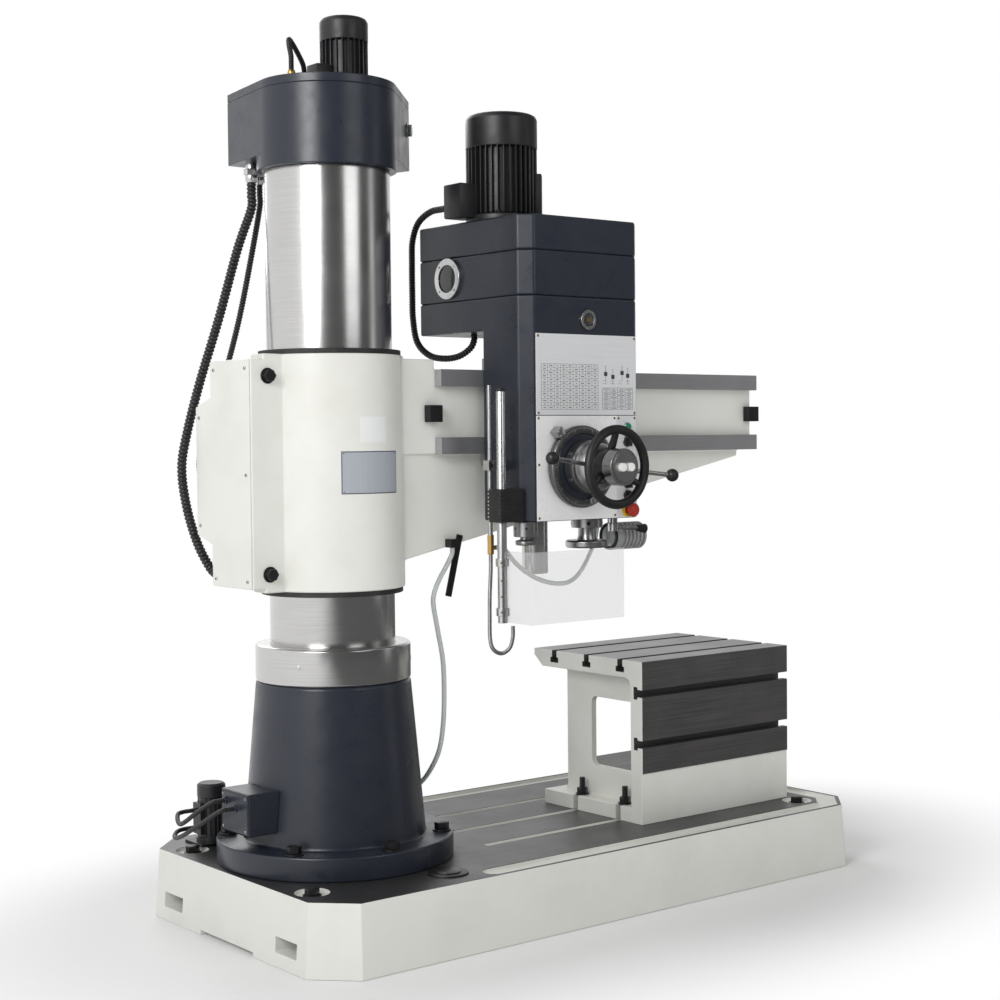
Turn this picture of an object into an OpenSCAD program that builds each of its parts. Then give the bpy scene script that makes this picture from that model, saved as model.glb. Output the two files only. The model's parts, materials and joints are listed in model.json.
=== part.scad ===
// Radial arm drill: a floor-standing drilling machine whose arm rises, turns and
// carries a drilling head, over a slotted base with a box table on it.

/* [Base] */
// Length of the base plate
base_len = 2030; // [1980:1:2200]
// Width of the base plate at its top
base_wid = 985; // [970:1:1080]
// Height of the base plate
base_h = 195; // [190:1:230]
// Chamfer of the base's corners
base_corner = 97; // [70:1:110]
// How far the base's sides lean out from top to bottom
base_draft = 13; // [6:1:18]
// Distance from the column axis to the base's near end
column_setback = 346; // [340:1:370]
// Distance between the base's T-slots
base_slot_pitch = 198; // [190:1:205]
// Distance from the column axis to the start of the base's T-slots
base_slot_start = 390; // [380:1:420]
// Width of the coolant channel
channel_w = 60; // [50:1:66]
// Depth of the coolant channel
channel_depth = 9; // [6:1:12]
// Width of a lifting pocket
lift_pocket_w = 104; // [90:1:120]
// Height of a lifting pocket
lift_pocket_h = 40; // [34:1:46]

/* [T slots] */
// Width of a T-slot's throat
slot_w = 22; // [20:1:24]
// Width of a T-slot's head
slot_head_w = 37; // [34:1:40]
// Height of a T-slot's head
slot_head_h = 16; // [14:1:18]
// Depth of a T-slot
slot_depth = 38; // [34:1:42]

/* [Column] */
// Diameter of the outer column
column_d = 350; // [340:1:360]
// Wall of the outer column
column_wall = 30; // [24:1:34]
// Height of the column's top above the base
column_len = 1917; // [1880:1:2000]
// Diameter of the inner column
inner_d = 250; // [236:1:260]
// Wall of the inner column
inner_wall = 40; // [30:1:50]
// Diameter of the column foot's flange
flange_d = 666; // [650:1:680]
// Thickness of the flange
flange_h = 66; // [58:1:72]
// Diameter of the column foot just above its flange
foot_d = 510; // [490:1:520]
// Height of the column foot above the base
foot_h = 501; // [480:1:520]
// Diameter of the clamping collar
collar_d = 435; // [425:1:445]
// Height of the clamping collar
collar_h = 103; // [95:1:110]
// Radial clearance of running fits
running_gap = 0.05; // [0.02:0.01:0.08]
// Clearance between pieces that pass each other
pass_gap = 0.3; // [0.2:0.05:0.5]

/* [Column cap] */
// Radius of the cap's round front
cap_r = 195; // [190:1:202]
// Height of the gear housing in the cap
cap_h = 216; // [200:1:230]
// Thickness of the cap's lid
lid_h = 24; // [18:1:28]
// Diameter of the lift motor over its fins
lift_motor_d = 142; // [136:1:150]
// Height of the lift motor
lift_motor_h = 240; // [225:1:255]

/* [Lift screw] */
// Distance of the lift screw from the column axis
screw_reach = 240; // [238:1:246]
// Direction of the lift screw from the arm's direction
screw_angle = 44; // [40:1:50]
// Diameter of the lift screw
screw_d = 50; // [44:1:52]

/* [Arm] */
// Diameter of the arm's sleeve
sleeve_d = 410; // [404:1:420]
// Height of the arm's sleeve
sleeve_h = 647; // [630:1:660]
// Distance from the collar to the sleeve with the arm at rest
arm_rest_gap = 154; // [145:1:170]
// Thickness of the wiper rings at the sleeve's ends
wiper_h = 14; // [10:1:16]
// Distance from the column axis to the arm's far end
arm_reach = 1540; // [1500:1:1600]
// Distance from the column axis to the front of the ways
way_front = 180; // [176:1:186]
// Thickness of a way
way_t = 30; // [24:1:34]
// Height of a way
way_h = 48; // [44:1:52]
// Height over both ways
ways_h = 240; // [230:1:250]
// Distance from the sleeve's top to the top of the upper way
way_drop = 38; // [34:1:44]
// Depth of the arm behind the ways
arm_depth = 210; // [200:1:230]
// Height of the arm's web below the lower way, at the column
web_drop = 298; // [285:1:310]
// Width of the switch cabinet along the column's side
cabinet_w = 210; // [200:1:216]
// Distance from the arm's sleeve to the cabinet's cover
cabinet_gap = 91; // [85:1:99]
// Thickness of the cabinet's cover
cover_t = 5; // [4:1:6]

/* [Head] */
// Distance from the column axis to the head's side
head_start = 404; // [396:1:430]
// Width of the head
head_w = 451; // [440:1:462]
// Depth of the head in front of the ways
head_depth = 193; // [188:1:200]
// Depth of the head's upper box behind the front of the ways
head_back = 301; // [290:1:310]
// Height of the head below the lower way
head_drop = 192; // [186:1:198]
// Height from the upper way to the upper box's underside
overhang_gap = 111; // [105:1:116]
// Height of the upper box's lowest tier
tier_low_h = 93; // [88:1:98]
// Height of the upper box's middle tier
tier_mid_h = 127; // [120:1:134]
// Height of the upper box's top cover
tier_top_h = 99; // [94:1:106]
// Chamfer of the head's front corners
head_chamfer = 35; // [30:1:38]
// Thickness of the front panels
panel_t = 3; // [2:0.5:4]
// Diameter of the spindle motor over its fins
motor_d = 210; // [200:1:216]
// Height of the spindle motor
motor_h = 313; // [300:1:325]

/* [Spindle] */
// Distance of the spindle from the head's side
spindle_in = 105; // [103:1:110]
// Distance of the spindle in front of the ways
spindle_out = 100; // [98:1:104]
// Diameter of the quill
quill_d = 110; // [104:1:114]
// Diameter of the spindle's nose
nose_d = 75; // [70:1:80]
// How far the nose stands below the head
nose_drop = 152; // [145:1:160]
// Large diameter of the taper socket
socket_d = 44.4; // [40:0.1:48]
// Depth of the taper socket
socket_depth = 136; // [125:1:140]

/* [Feed controls] */
// Distance of the feed axis from the head's side
feed_in = 188; // [184:1:194]
// Height of the feed axis above the head's bottom
feed_up = 153; // [150:1:158]
// Diameter of the depth dial
dial_d = 234; // [226:1:240]
// Diameter of the feed hub
hub_d = 150; // [144:1:156]
// Diameter of the fixed core through hub and handwheel
core_d = 40; // [36:1:42]
// Distance of a lever's ball from the feed axis
lever_reach = 229; // [220:1:236]
// Diameter of a lever's ball
ball_d = 37; // [34:1:40]
// Outer diameter of the handwheel
wheel_d = 235; // [228:1:242]
// Diameter of the handwheel's rim section
rim_d = 26; // [22:1:28]
// Diameter of the button drum
boss_d = 104; // [100:1:108]
// Diameter of the fine feed wheel
fine_d = 126; // [120:1:130]
// Diameter of the depth stop knob
knob_d = 68; // [64:1:70]

/* [Guard and coolant] */
// Diameter of the guard's post
post_d = 27; // [24:1:28]
// Height of the guard's post
post_h = 644; // [630:1:660]
// Thickness of the guard's sheet
sheet_t = 3; // [2:0.5:4]
// Height of the guard's sheet
sheet_h = 200; // [190:1:206]
// Depth of the guard in front of its post
guard_out = 111; // [105:1:118]
// Width of the guard's front
guard_w = 358; // [350:1:364]
// Diameter of the coolant pipe
pipe_d = 14; // [12:1:16]

/* [Table] */
// Length of the table
table_len = 641; // [620:1:650]
// Width of the table's top
table_wid = 506; // [500:1:516]
// Height of the table
table_h = 494; // [486:1:500]
// Distance from the column axis to the table
table_start = 905; // [890:1:930]
// Distance of the table's near face from the column's centre plane
table_front = 302; // [298:1:306]
// Distance between the table's T-slots
table_slot_pitch = 154; // [150:1:156]

/* [Hidden] */
$fn = 64;
paint_dark = [0.18, 0.19, 0.24];
paint_white = [0.89, 0.90, 0.87];
steel = [0.62, 0.61, 0.60];
ground_iron = [0.30, 0.30, 0.30];
black = [0.08, 0.08, 0.09];
silver = [0.80, 0.81, 0.82];
brass = [0.67, 0.49, 0.24];
clear = [0.80, 0.85, 0.88];

// Levels of the fixed structure
flange_top = base_h + flange_h;
foot_top = base_h + foot_h;
collar_top = foot_top + collar_h;
column_top = base_h + column_len;
cap_top = column_top + cap_h;
lid_top = cap_top + lid_h;
column_r = column_d / 2;
inner_r = inner_d / 2;
seat_gap = 0.5;

cabinet_reach = sleeve_d / 2 + cabinet_gap;

// Levels of the arm and head at rest
sleeve_low = collar_top + arm_rest_gap;
sleeve_top = sleeve_low + sleeve_h;
ways_top = sleeve_top - way_drop;
ways_low = ways_top - ways_h;
way_back = -way_front + way_t;
arm_back = way_back + arm_depth;
head_low = ways_low - head_drop;
overhang_z = ways_top + overhang_gap;
tier_low_top = overhang_z + tier_low_h;
tier_mid_top = tier_low_top + tier_mid_h;
head_top = tier_mid_top + tier_top_h;
head_end = head_start + head_w;
head_front = -way_front - head_depth;
head_rear = -way_front - pass_gap;
box_rear = -way_front + head_back;

// Lift screw
screw_x = screw_reach * cos(screw_angle);
screw_y = screw_reach * sin(screw_angle);
screw_low = ways_low - 110;
journal_d = screw_d - 10;
journal_len = 90;
nut_body_d = screw_d + 26;
nut_flange_d = screw_d + 62;
nut_len = 90;
nut_flange_h = 14;
boss_r = 60;

// Cap outline: the two flared sides end at these corners
cap_left = [-156, 275];
cap_right = [326, 59];
cap_back_r = 115;

// Spindle
spindle_x = head_start + spindle_in;
spindle_y = -way_front - spindle_out;
quill_low = head_low + 20;
quill_len = tier_low_top - quill_low - 76;
spindle_body_d = 60;
nose_low = head_low - nose_drop;
spindle_top = quill_low + quill_len + 50;

// Feed axis: distances in front of the head's face
feed_x = head_start + feed_in;
feed_z = head_low + feed_up;
dial_at = 6;
dial_t = 24;
hub_at = dial_at + dial_t + 1;
hub_len = 84;
hub_shaft_d = 80;
hub_shaft_in = 50;
lever_at = hub_at + 62;
lever_out = 51;
lever_tilt = -7;
wheel_at = 168;
wheel_low = hub_at + hub_len + 2;
wheel_hub_len = 43;
wheel_hub_d = 96;
spoke_at = wheel_low + 19;
boss_at = wheel_low + wheel_hub_len + 1;
boss_len = 38;
boss_plate = 3;

// Control column on the front panel
switch_x = head_end - 73;
switch_d = 22;
switch_hole_depth = 26;
pilot_z = head_low + 266;
selector_z = [head_low + 223, head_low + 102, head_low + 66];
start_z = head_low + 187;
stop_z = head_low + 24;
panel_split = head_low + 299;
panel_top = overhang_z - 14;

// Below the head
fine_x = head_start + 278;
fine_y = -way_front - 130;
knob_x = head_start + 28;
knob_y = -way_front - 152;
lever_x = head_start + 366;
lever_y = -way_front - 148;
lamp_x = head_start + 418;
lamp_y = -way_front - 72;
lamp_d = 82;
lamp_len = 128;
lamp_drop = 60;

// Guard and coolant pipe, beside the head
post_x = head_start - 61;
post_y = -way_front - 157;
post_low = head_low - 279;
sheet_low = post_low;
block_low = head_low + 2;
block_h = 93;
pipe_x = head_start - 54;
pipe_y = -way_front - 97;
pipe_low = head_low - 36;
pipe_len = 421;
valve_h = 54;
valve_d = 20;

// Main motor on the head
motor_x = head_start + 124;
motor_y = -way_front + 60;
motor_flange_h = 20;
motor_cowl_h = 98;

// Table
table_end = table_start + table_len;
table_top = base_h + table_h;
table_mid_y = -table_front + table_wid / 2;
table_foot_h = 45;
table_box_w = 414;
table_wall = 20;
near_wall = slot_depth + 14;
plate_t = 54;
ground_h = 339;

// Fittings
jack_left = [64 - column_setback, 316];
jack_right = [base_len - column_setback - 150, 352];
flange_bolt_r = 300;
flange_bolt_angles = [39, 93, 145];
sump_at = [107, -384];
sump_d = 112;
pump_at = [-200, 349];
pump_d = 82;
pump_h = 180;
box_low = base_h + 107;
box_h = 116;
box_reach = 327;
box_near = -80;
box_w = 145;

// Routes of the hoses and conduits, chosen points in millimetres
main_route = [[-125, 200, 2096], [-125, 200, 2060], [-127, 201, 2020], [-166, 212, 1908],
    [-222, 228, 1707], [-274, 248, 1529], [-310, 262, 1383], [-324, 267, 1288],
    [-312, 264, 1181], [-284, 258, 1080], [-258, 238, 1012], [-250, 215, 992],
    [-250, 190, 988], [-250, 160, 988]];
cabinet_route = [[-85, 222, 2096], [-85, 222, 2066], [-86, 222, 2030], [-110, 228, 1900], [-146, 240, 1720],
    [-178, 264, 1570], [-206, 298, 1440], [-224, 320, 1370], [-234, 328, 1310], [-239, 309, 1258],
    [-240, 266, 1236], [-240, 240, 1236]];
top_route = [[-100, 20, 2388], [-100, 20, 2408], [-100, 21, 2428], [-98, 34, 2462],
    [-78, 62, 2480], [-40, 90, 2462], [0, 118, 2432], [24, 146, 2412], [40, 158, 2410],
    [62, 160, 2410]];
motor_route = [[405, -46, 2040], [405, -20, 2040], [405, 10, 2040], [404, 66, 2037], [400, 120, 2010],
    [397, 146, 1958], [397, 150, 1890], [397, 150, 1800], [398, 149, 1726], [402, 134, 1656],
    [414, 92, 1616], [434, 44, 1604], [460, 4, 1610], [480, -24, 1632], [487, -34, 1655],
    [487, -34, 1673]];
pump_route_a = [[-339, 34, 388], [-358, 34, 388], [-376, 40, 384], [-396, 80, 356], [-398, 140, 322],
    [-378, 210, 300], [-350, 276, 297], [-318, 332, 300], [-292, 349, 300], [-270, 349, 300],
    [-249, 349, 300]];
pump_route_b = [[-339, -20, 374], [-358, -20, 374], [-380, -14, 370], [-412, 40, 330], [-416, 120, 290],
    [-392, 206, 264], [-358, 280, 252], [-320, 334, 250], [-292, 349, 250], [-270, 349, 250],
    [-249, 349, 250]];
hose_low_route = [[-128, 349, 300], [-108, 349, 300], [-92, 342, 298], [-78, 318, 292],
    [-66, 288, 284], [-44, 266, 278], [0, 266, 275], [100, 248, 274], [190, 188, 276], [240, 116, 292], [264, 40, 324],
    [274, -30, 366], [262, -100, 418], [264, -140, 480], [272, -150, 560], [276, -150, 660],
    [272, -150, 740], [258, -150, 810], [250, -150, 850]];
hose_high_route = [[250, -150, 850], [242, -150, 890], [242, -150, 920], [258, -151, 960],
    [290, -154, 1010], [304, -156, 1036], [306, -156, 1046], [306, -156, 1056]];
neck_route = [[350, -277, 1040], [350, -277, 1012], [349, -277, 985], [345, -277, 920], [344, -277, 860],
    [345, -277, 800], [357, -277, 770], [386, -277, 757], [415, -277, 770], [427, -277, 800],
    [428, -277, 832]];
head_hose_route = [[366, -277, 1058], [384, -277, 1058], [400, -279, 1050], [424, -300, 1010],
    [452, -336, 976], [500, -352, 956], [560, -346, 950], [620, -318, 956], [680, -282, 974],
    [736, -248, 1004], [780, -228, 1046], [798, -222, 1084], [800, -222, 1104], [800, -222, 1122]];

main_conduit_d = 27;
cabinet_conduit_d = 18;
motor_conduit_d = 20;
top_conduit_d = 15;
pump_conduit_d = 13;
hose_d = 14;
neck_d = 12;
head_hose_d = 13;

// Shared shapes

// A tube standing on z = 0
module pipe(outer_r, inner_r, h) {
    difference() {
        cylinder(r = outer_r, h = h);
        translate([0, 0, -1]) cylinder(r = inner_r, h = h + 2);
    }
}

// A box from its low corner to its high corner
module block(low, high) {
    translate(low) cube(high - low);
}

// A box whose four upright edges are rounded
module soft_block(low, high, r) {
    size = high - low;
    translate([low[0] + r, low[1] + r, low[2]]) linear_extrude(size[2])
        union() {
            translate([0, -r]) square([size[0] - 2 * r, size[1]]);
            translate([-r, 0]) square([size[0], size[1] - 2 * r]);
            for (x = [0, size[0] - 2 * r], y = [0, size[1] - 2 * r]) translate([x, y]) circle(r);
        }
}

// A hexagon head on a washer
module hex_head(across, h) {
    cylinder(r = across * 0.72, h = h * 0.18);
    cylinder(d = across / cos(30), h = h, $fn = 6);
}

// The section of a T-slot, with its mouth at y = 0 and its depth along -y
module slot_section() {
    translate([-slot_w / 2, -slot_depth]) square([slot_w, slot_depth + 1]);
    translate([-slot_head_w / 2, -slot_depth]) square([slot_head_w, slot_head_h]);
}

// A T-slot cut along +X, open upwards
module slot_cut(len) {
    rotate([90, 0, 90]) linear_extrude(len) slot_section();
}

// Something that stands on the feed axis, at a distance in front of the head's face
module on_feed_axis(at) {
    translate([feed_x, head_front - at, feed_z]) rotate([90, 0, 0]) children();
}

// A switch place on the front panel, pointing at the operator
module on_panel(x, z, at = 0) {
    translate([x, head_front - panel_t - at, z]) rotate([90, 0, 0]) children();
}

// The point where a line from p touches a circle round the origin, on side s
function touch(p, r, s) = let (d = norm(p), a = atan2(p[1], p[0]) + s * acos(r / d)) [r * cos(a), r * sin(a)];

// Swept tubes: a smooth route through chosen points
function unit(v) = v / norm(v);
function spline_at(a, b, c, d, t) = 0.5 * ((2 * b) + (c - a) * t + (2 * a - 5 * b + 4 * c - d) * t * t
    + (3 * b - a - 3 * c + d) * t * t * t);
function smooth(p, n) = [for (i = [0 : len(p) - 2], k = [0 : n - 1])
    spline_at(i > 0 ? p[i - 1] : 2 * p[0] - p[1], p[i], p[i + 1],
        i + 2 < len(p) ? p[i + 2] : 2 * p[len(p) - 1] - p[len(p) - 2], k / n), p[len(p) - 1]];
function lengths(p) = [for (i = 0, s = 0; i < len(p); i = i + 1,
    s = i < len(p) ? s + norm(p[i] - p[i - 1]) : s) s];
function step_at(l, s) = max([for (i = [0 : len(l) - 2]) if (l[i] <= s) i]);
function along(p, l, s) = let (i = step_at(l, s)) p[i] + (p[i + 1] - p[i]) * (s - l[i]) / (l[i + 1] - l[i]);
function evenly(p, count) = let (d = smooth(p, 10), l = lengths(d), total = l[len(l) - 1] - 2 * pass_gap)
    [for (i = [0 : count - 1]) along(d, l, pass_gap + total * i / (count - 1))];
function headings(p, route) = let (n = len(p) - 1, m = len(route) - 1) [for (i = [0 : n])
    i == 0 ? unit(route[1] - route[0]) : i == n ? unit(route[m] - route[m - 1]) : unit(p[i + 1] - p[i - 1])];
function square_to(v, t) = unit(v - (v * t) * t);
function sides(t, start) = [for (i = 0, n = square_to(start, t[0]); i < len(t); i = i + 1,
    n = i < len(t) ? square_to(n, t[i]) : n) n];
function ring(c, t, n, r, count) = let (b = cross(t, n))
    [for (k = [0 : count - 1]) c + r * (cos(360 * k / count) * n + sin(360 * k / count) * b)];
function wall(first, rows, count, flip) = [for (i = [0 : rows - 2], k = [0 : count - 1], h = [0, 1])
    let (a = first + i * count + k, b = first + i * count + (k + 1) % count, c = a + count, d = b + count)
    h == 0 ? (flip ? [a, b, c] : [a, c, b]) : (flip ? [b, d, c] : [b, c, d])];
function rim(outer, inner, count, flip) = [for (k = [0 : count - 1], h = [0, 1])
    let (a = outer + k, b = outer + (k + 1) % count, c = inner + k, d = inner + (k + 1) % count)
    h == 0 ? (flip ? [a, c, b] : [a, b, c]) : (flip ? [b, c, d] : [b, d, c])];

// A plain round tube along a route, closed at both ends
module plain_tube(route, d, rings, start, count = 8) {
    p = evenly(route, rings);
    t = headings(p, route);
    n = sides(t, start);
    pts = [for (i = [0 : rings - 1]) each ring(p[i], t[i], n[i], d / 2, count)];
    ends = [[for (k = [0 : count - 1]) k], [for (k = [0 : count - 1]) rings * count - 1 - k]];
    polyhedron(concat(pts), concat(wall(0, rings, count, false), ends));
}

// A ribbed tube with its bore along a route: each rib has two rings
module ribbed_tube(route, d, ribs, start, depth, wall_t, bore_rings, count = 8) {
    rows = 2 * ribs;
    p = evenly(route, rows);
    t = headings(p, route);
    n = sides(t, start);
    q = evenly(route, bore_rings);
    u = headings(q, route);
    m = sides(u, start);
    skin = [for (i = [0 : rows - 1]) each ring(p[i], t[i], n[i], d / 2 - (i % 2 == 0 ? depth : 0), count)];
    bore = [for (i = [0 : bore_rings - 1]) each ring(q[i], u[i], m[i], d / 2 - depth - wall_t, count)];
    first = rows * count;
    polyhedron(concat(skin, bore), concat(wall(0, rows, count, false), wall(first, bore_rings, count, true),
        rim(0, first, count, false),
        rim((rows - 1) * count, first + (bore_rings - 1) * count, count, true)));
}

// Base

// One leaning side of the base, cut away beyond a distance from the base's centre
module lean_cut(angle, dist) {
    reach = base_len + base_wid;
    rotate([0, 0, angle]) translate([dist, 0, base_h]) rotate([0, -atan(base_draft / base_h), 0])
        block([0, -reach, -2 * base_h], [reach, reach, base_h]);
}

base_mid_x = base_len / 2 - column_setback;
base_end = base_len - column_setback;
channel_rim = 14;
channel_start = 215;
slot_end = base_end - channel_rim - channel_w / 2;
base_slot_shift = 8;
base_slots = [for (k = [-1 : 1]) base_slot_shift + k * base_slot_pitch];
lift_pocket_y = 300;
lift_pocket_z = 38;
lift_pocket_depth = 130;
jacks = [for (p = [jack_left, jack_right], s = [-1, 1]) [p[0], s * p[1]]];
jack_hole_d = 34;
jack_recess_d = 92;
jack_recess_h = 10;
core_w = 250;
core_rib = 40;
core_h = base_h - 70;

// Corners of the base's top at its far end, set in by a distance and taken in a direction
function far_corners(inset, s) = let (x = base_end - inset, y = base_wid / 2 - inset, c = base_corner - (2 - sqrt(2)) * inset)
    [[x - c, -s * y], [x, s * (c - y)], [x, s * (y - c)], [x - c, s * y]];

// The channel runs along both sides and round the far end, inside a narrow rim
module channel_plan() {
    outer = base_wid / 2 - channel_rim;
    inner = outer - channel_w;
    polygon(concat([[channel_start, -outer]], far_corners(channel_rim, 1), [[channel_start, outer], [channel_start, inner]],
        far_corners(channel_rim + channel_w, -1), [[channel_start, -inner]]));
    for (s = [-1, 1]) translate([channel_start, s * (outer + inner) / 2]) circle(d = channel_w);
}

module base_plate() {
    hx = base_len / 2;
    hy = base_wid / 2;
    corner = (hx + hy - base_corner) / sqrt(2);
    color(paint_white) difference() {
        block([base_mid_x - hx - base_draft, -hy - base_draft, 0], [base_mid_x + hx + base_draft, hy + base_draft, base_h]);
        translate([base_mid_x, 0, 0]) {
            for (a = [0, 180]) lean_cut(a, hx);
            for (a = [90, 270]) lean_cut(a, hy);
            for (a = [45 : 90 : 315]) lean_cut(a, corner);
        }
        for (y = base_slots) translate([base_slot_start, y, base_h]) slot_cut(slot_end - base_slot_start);
        translate([0, 0, base_h - channel_depth]) linear_extrude(channel_depth + 1) channel_plan();
        for (p = jacks) translate([p[0], p[1], 0]) {
            translate([0, 0, -1]) cylinder(d = jack_hole_d, h = base_h + 2);
            translate([0, 0, base_h - jack_recess_h]) cylinder(d = jack_recess_d, h = jack_recess_h + 1);
        }
        translate([sump_at[0], sump_at[1], base_h - 6]) cylinder(d = sump_d + 2 * seat_gap, h = 7);
        // Lifting pockets and the shallow notch in the column end
        for (s = [-1, 1]) translate([-column_setback - base_draft - 1, s * lift_pocket_y - lift_pocket_w / 2, lift_pocket_z])
            cube([lift_pocket_depth + base_draft + 1, lift_pocket_w, lift_pocket_h]);
        block([-column_setback - base_draft - 1, -140, -1], [-column_setback + 50, 140, 12]);
        // Cast pockets under the slotted part
        for (k = [0 : 3], s = [-1, 1]) translate([420 + k * (core_w + core_rib), s * 240 - 200, -1])
            cube([core_w, 400, core_h + 1]);
    }
}

bearing_drop = 56;
lip_r = inner_r + seat_gap;
column_low = foot_top + 4;
collar_r = collar_d / 2;
foot_edge = 8;
foot_slope = (foot_d / 2 - collar_r) / (foot_h - flange_h - foot_edge - 5);

// Radius of the foot's cone at a height
function foot_r_at(z) = foot_d / 2 - foot_slope * (z - flange_top - foot_edge);

module column_base() {
    flange_r = flange_d / 2;
    foot_r = foot_d / 2;
    seat_r = column_r + 6;
    color(paint_dark) rotate_extrude() polygon([
        [foot_r - 40, base_h], [flange_r, base_h], [flange_r, flange_top - 6], [flange_r - 6, flange_top],
        [foot_r + 6, flange_top], [foot_r, flange_top + foot_edge], [collar_r, foot_top - 5], [collar_r - 5, foot_top],
        [seat_r, foot_top], [seat_r, foot_top - bearing_drop], [lip_r, foot_top - bearing_drop],
        [lip_r, foot_top - bearing_drop - 80], [lip_r + 50, foot_top - bearing_drop - 110],
        [foot_r - 40, flange_top]]);
}

module base_fittings() {
    color(black) {
        for (a = flange_bolt_angles, s = [-1, 1]) rotate([0, 0, s * a]) translate([flange_bolt_r, 0, flange_top])
            hex_head(36, 24);
        for (p = jacks) translate([p[0], p[1], base_h - jack_recess_h]) {
            hex_head(34, 22);
            translate([0, 0, -90]) cylinder(d = jack_hole_d - 2 * pass_gap, h = 90);
        }
        translate([sump_at[0], sump_at[1], base_h - 6]) {
            cylinder(d = sump_d, h = 10);
            cylinder(d = sump_d - 40, h = 13);
        }
        for (y = [base_slots[0], base_slots[1]], x = [table_start + 30, table_end - 30]) translate([x, y, base_h]) {
            translate([0, 0, -slot_depth + pass_gap]) cylinder(d = slot_w - 4, h = slot_depth + table_foot_h + 54);
            translate([0, 0, -slot_depth + pass_gap])
                translate([-14, -slot_head_w / 2 + 1, 0]) cube([28, slot_head_w - 2, slot_head_h - 1]);
            translate([0, 0, table_foot_h]) hex_head(30, 22);
        }
    }
}

module inner_column() {
    color(steel) translate([0, 0, base_h]) pipe(inner_r, inner_r - inner_wall, column_len - 22);
}

module column_bearings() {
    color(steel) {
        translate([0, 0, foot_top - bearing_drop])
            pipe(column_r - 4, inner_r + pass_gap, column_low - foot_top + bearing_drop - pass_gap);
        translate([0, 0, column_top - 82]) pipe(column_r - column_wall - running_gap, inner_r + running_gap, 50);
    }
}

// Table: a box casting with slotted top and slotted near face
module table_section() {
    back = table_wid - table_front;
    box_back = table_box_w - table_front;
    polygon([[box_back + 44, base_h], [box_back + 44, base_h + table_foot_h],
        [box_back + 12, base_h + table_foot_h], [box_back, base_h + table_foot_h + 14],
        [box_back, table_top - plate_t - 14], [box_back + 12, table_top - plate_t], [back - 40, table_top - plate_t],
        [back, table_top - plate_t + 34], [back, table_top], [-table_front, table_top],
        [-table_front, table_top - ground_h], [-table_front + 3, table_top - ground_h - 3],
        [-table_front + 3, base_h]]);
}

table_slots = [for (k = [-1 : 1]) table_mid_y + k * table_slot_pitch];
side_slots = [for (k = [0 : 1]) table_top - 97 - k * table_slot_pitch];
window_low = base_h + 138;
window_high = base_h + 355;
window_near = -table_front + near_wall;
window_far = table_box_w - table_front - 117;

end_recess = 60;
bolt_slot_len = 44;

// The end web stands back behind the near wall and under the plate
module end_recess_section() {
    near = -table_front + near_wall;
    polygon([[near, base_h + table_foot_h], [table_box_w - table_front + 20, base_h + table_foot_h],
        [table_box_w - table_front + 20, table_top - plate_t], [near + 24, table_top - plate_t],
        [near + 7, table_top - plate_t - 7], [near, table_top - plate_t - 24]]);
}

module work_table() {
    color(paint_white) difference() {
        translate([table_start, 0, 0]) rotate([90, 0, 90]) linear_extrude(table_len) table_section();
        for (y = table_slots) translate([table_start - 1, y, table_top]) slot_cut(table_len + 2);
        for (z = side_slots) translate([table_start - 1, -table_front, z]) rotate([90, 0, 0]) slot_cut(table_len + 2);
        // Hollow inside, open at the back, with a window in each end
        block([table_start + end_recess + table_wall, window_near, window_low - 4],
            [table_end - end_recess - table_wall, table_box_w - table_front + 1, table_top - 92]);
        translate([table_start - 1, 0, 0]) rotate([90, 0, 90])
            soft_block([window_near, window_low, 0], [window_far, window_high, table_len + 2], 20);
        for (x = [table_start - 1, table_end - end_recess]) translate([x, 0, 0]) rotate([90, 0, 90])
            linear_extrude(end_recess + 1) end_recess_section();
        // Slots in the foot for the hold-down bolts
        for (y = [base_slots[0], base_slots[1]], x = [table_start - 1, table_end - bolt_slot_len])
            block([x, y - slot_w / 2, base_h - 1], [x + bolt_slot_len + 1, y + slot_w / 2, base_h + table_foot_h + 1]);
    }
}

module coolant_pump() {
    color(black) translate([pump_at[0], pump_at[1], base_h]) {
        translate([-50, -30, 0]) cube([120, 100, 8]);
        translate([0, 0, 7]) cylinder(d = pump_d + 8, h = 17);
        translate([0, 0, 23]) cylinder(d = pump_d - 8, h = pump_h - 62);
        for (a = [36 : 18 : 144], s = [-1, 1]) rotate([0, 0, s * a]) translate([pump_d / 2 - 8, -1.5, 23])
            cube([7, 3, pump_h - 62]);
        translate([0, 0, pump_h - 40]) cylinder(d = pump_d, h = 34);
        translate([0, 0, pump_h - 6]) cylinder(d1 = pump_d, d2 = pump_d - 14, h = 6);
        translate([-49, -22, 35]) cube([20, 44, 90]);
        translate([30, 0, 105]) rotate([0, 90, 0]) cylinder(d = 18, h = 42);
    }
}

module junction_box() {
    color(paint_dark) difference() {
        union() {
            block([-box_reach, box_near, box_low], [-190, box_near + box_w, box_low + box_h]);
            block([-box_reach - 3, box_near + 4, box_low + 4], [-box_reach + 1, box_near + box_w - 4, box_low + box_h - 4]);
            for (p = [pump_route_a[0], pump_route_b[0]]) translate([p[0], p[1], p[2]]) rotate([0, 90, 0])
                cylinder(d = pump_conduit_d + 9, h = -p[0] - box_reach, $fn = 6);
        }
        translate([0, 0, base_h]) cylinder(r1 = foot_r_at(base_h) + pass_gap, r2 = foot_r_at(foot_top) + pass_gap, h = foot_h);
    }
}

module pump_conduits() {
    color(black) {
        ribbed_tube(pump_route_a, pump_conduit_d, 14, [0, 0, 1], 1, 1.5, 16);
        ribbed_tube(pump_route_b, pump_conduit_d, 14, [0, 0, 1], 1, 1.5, 16);
    }
}

module coolant_hose_lower() {
    color(clear) plain_tube(hose_low_route, hose_d, 40, [0, 0, 1]);
}

// Column

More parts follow.
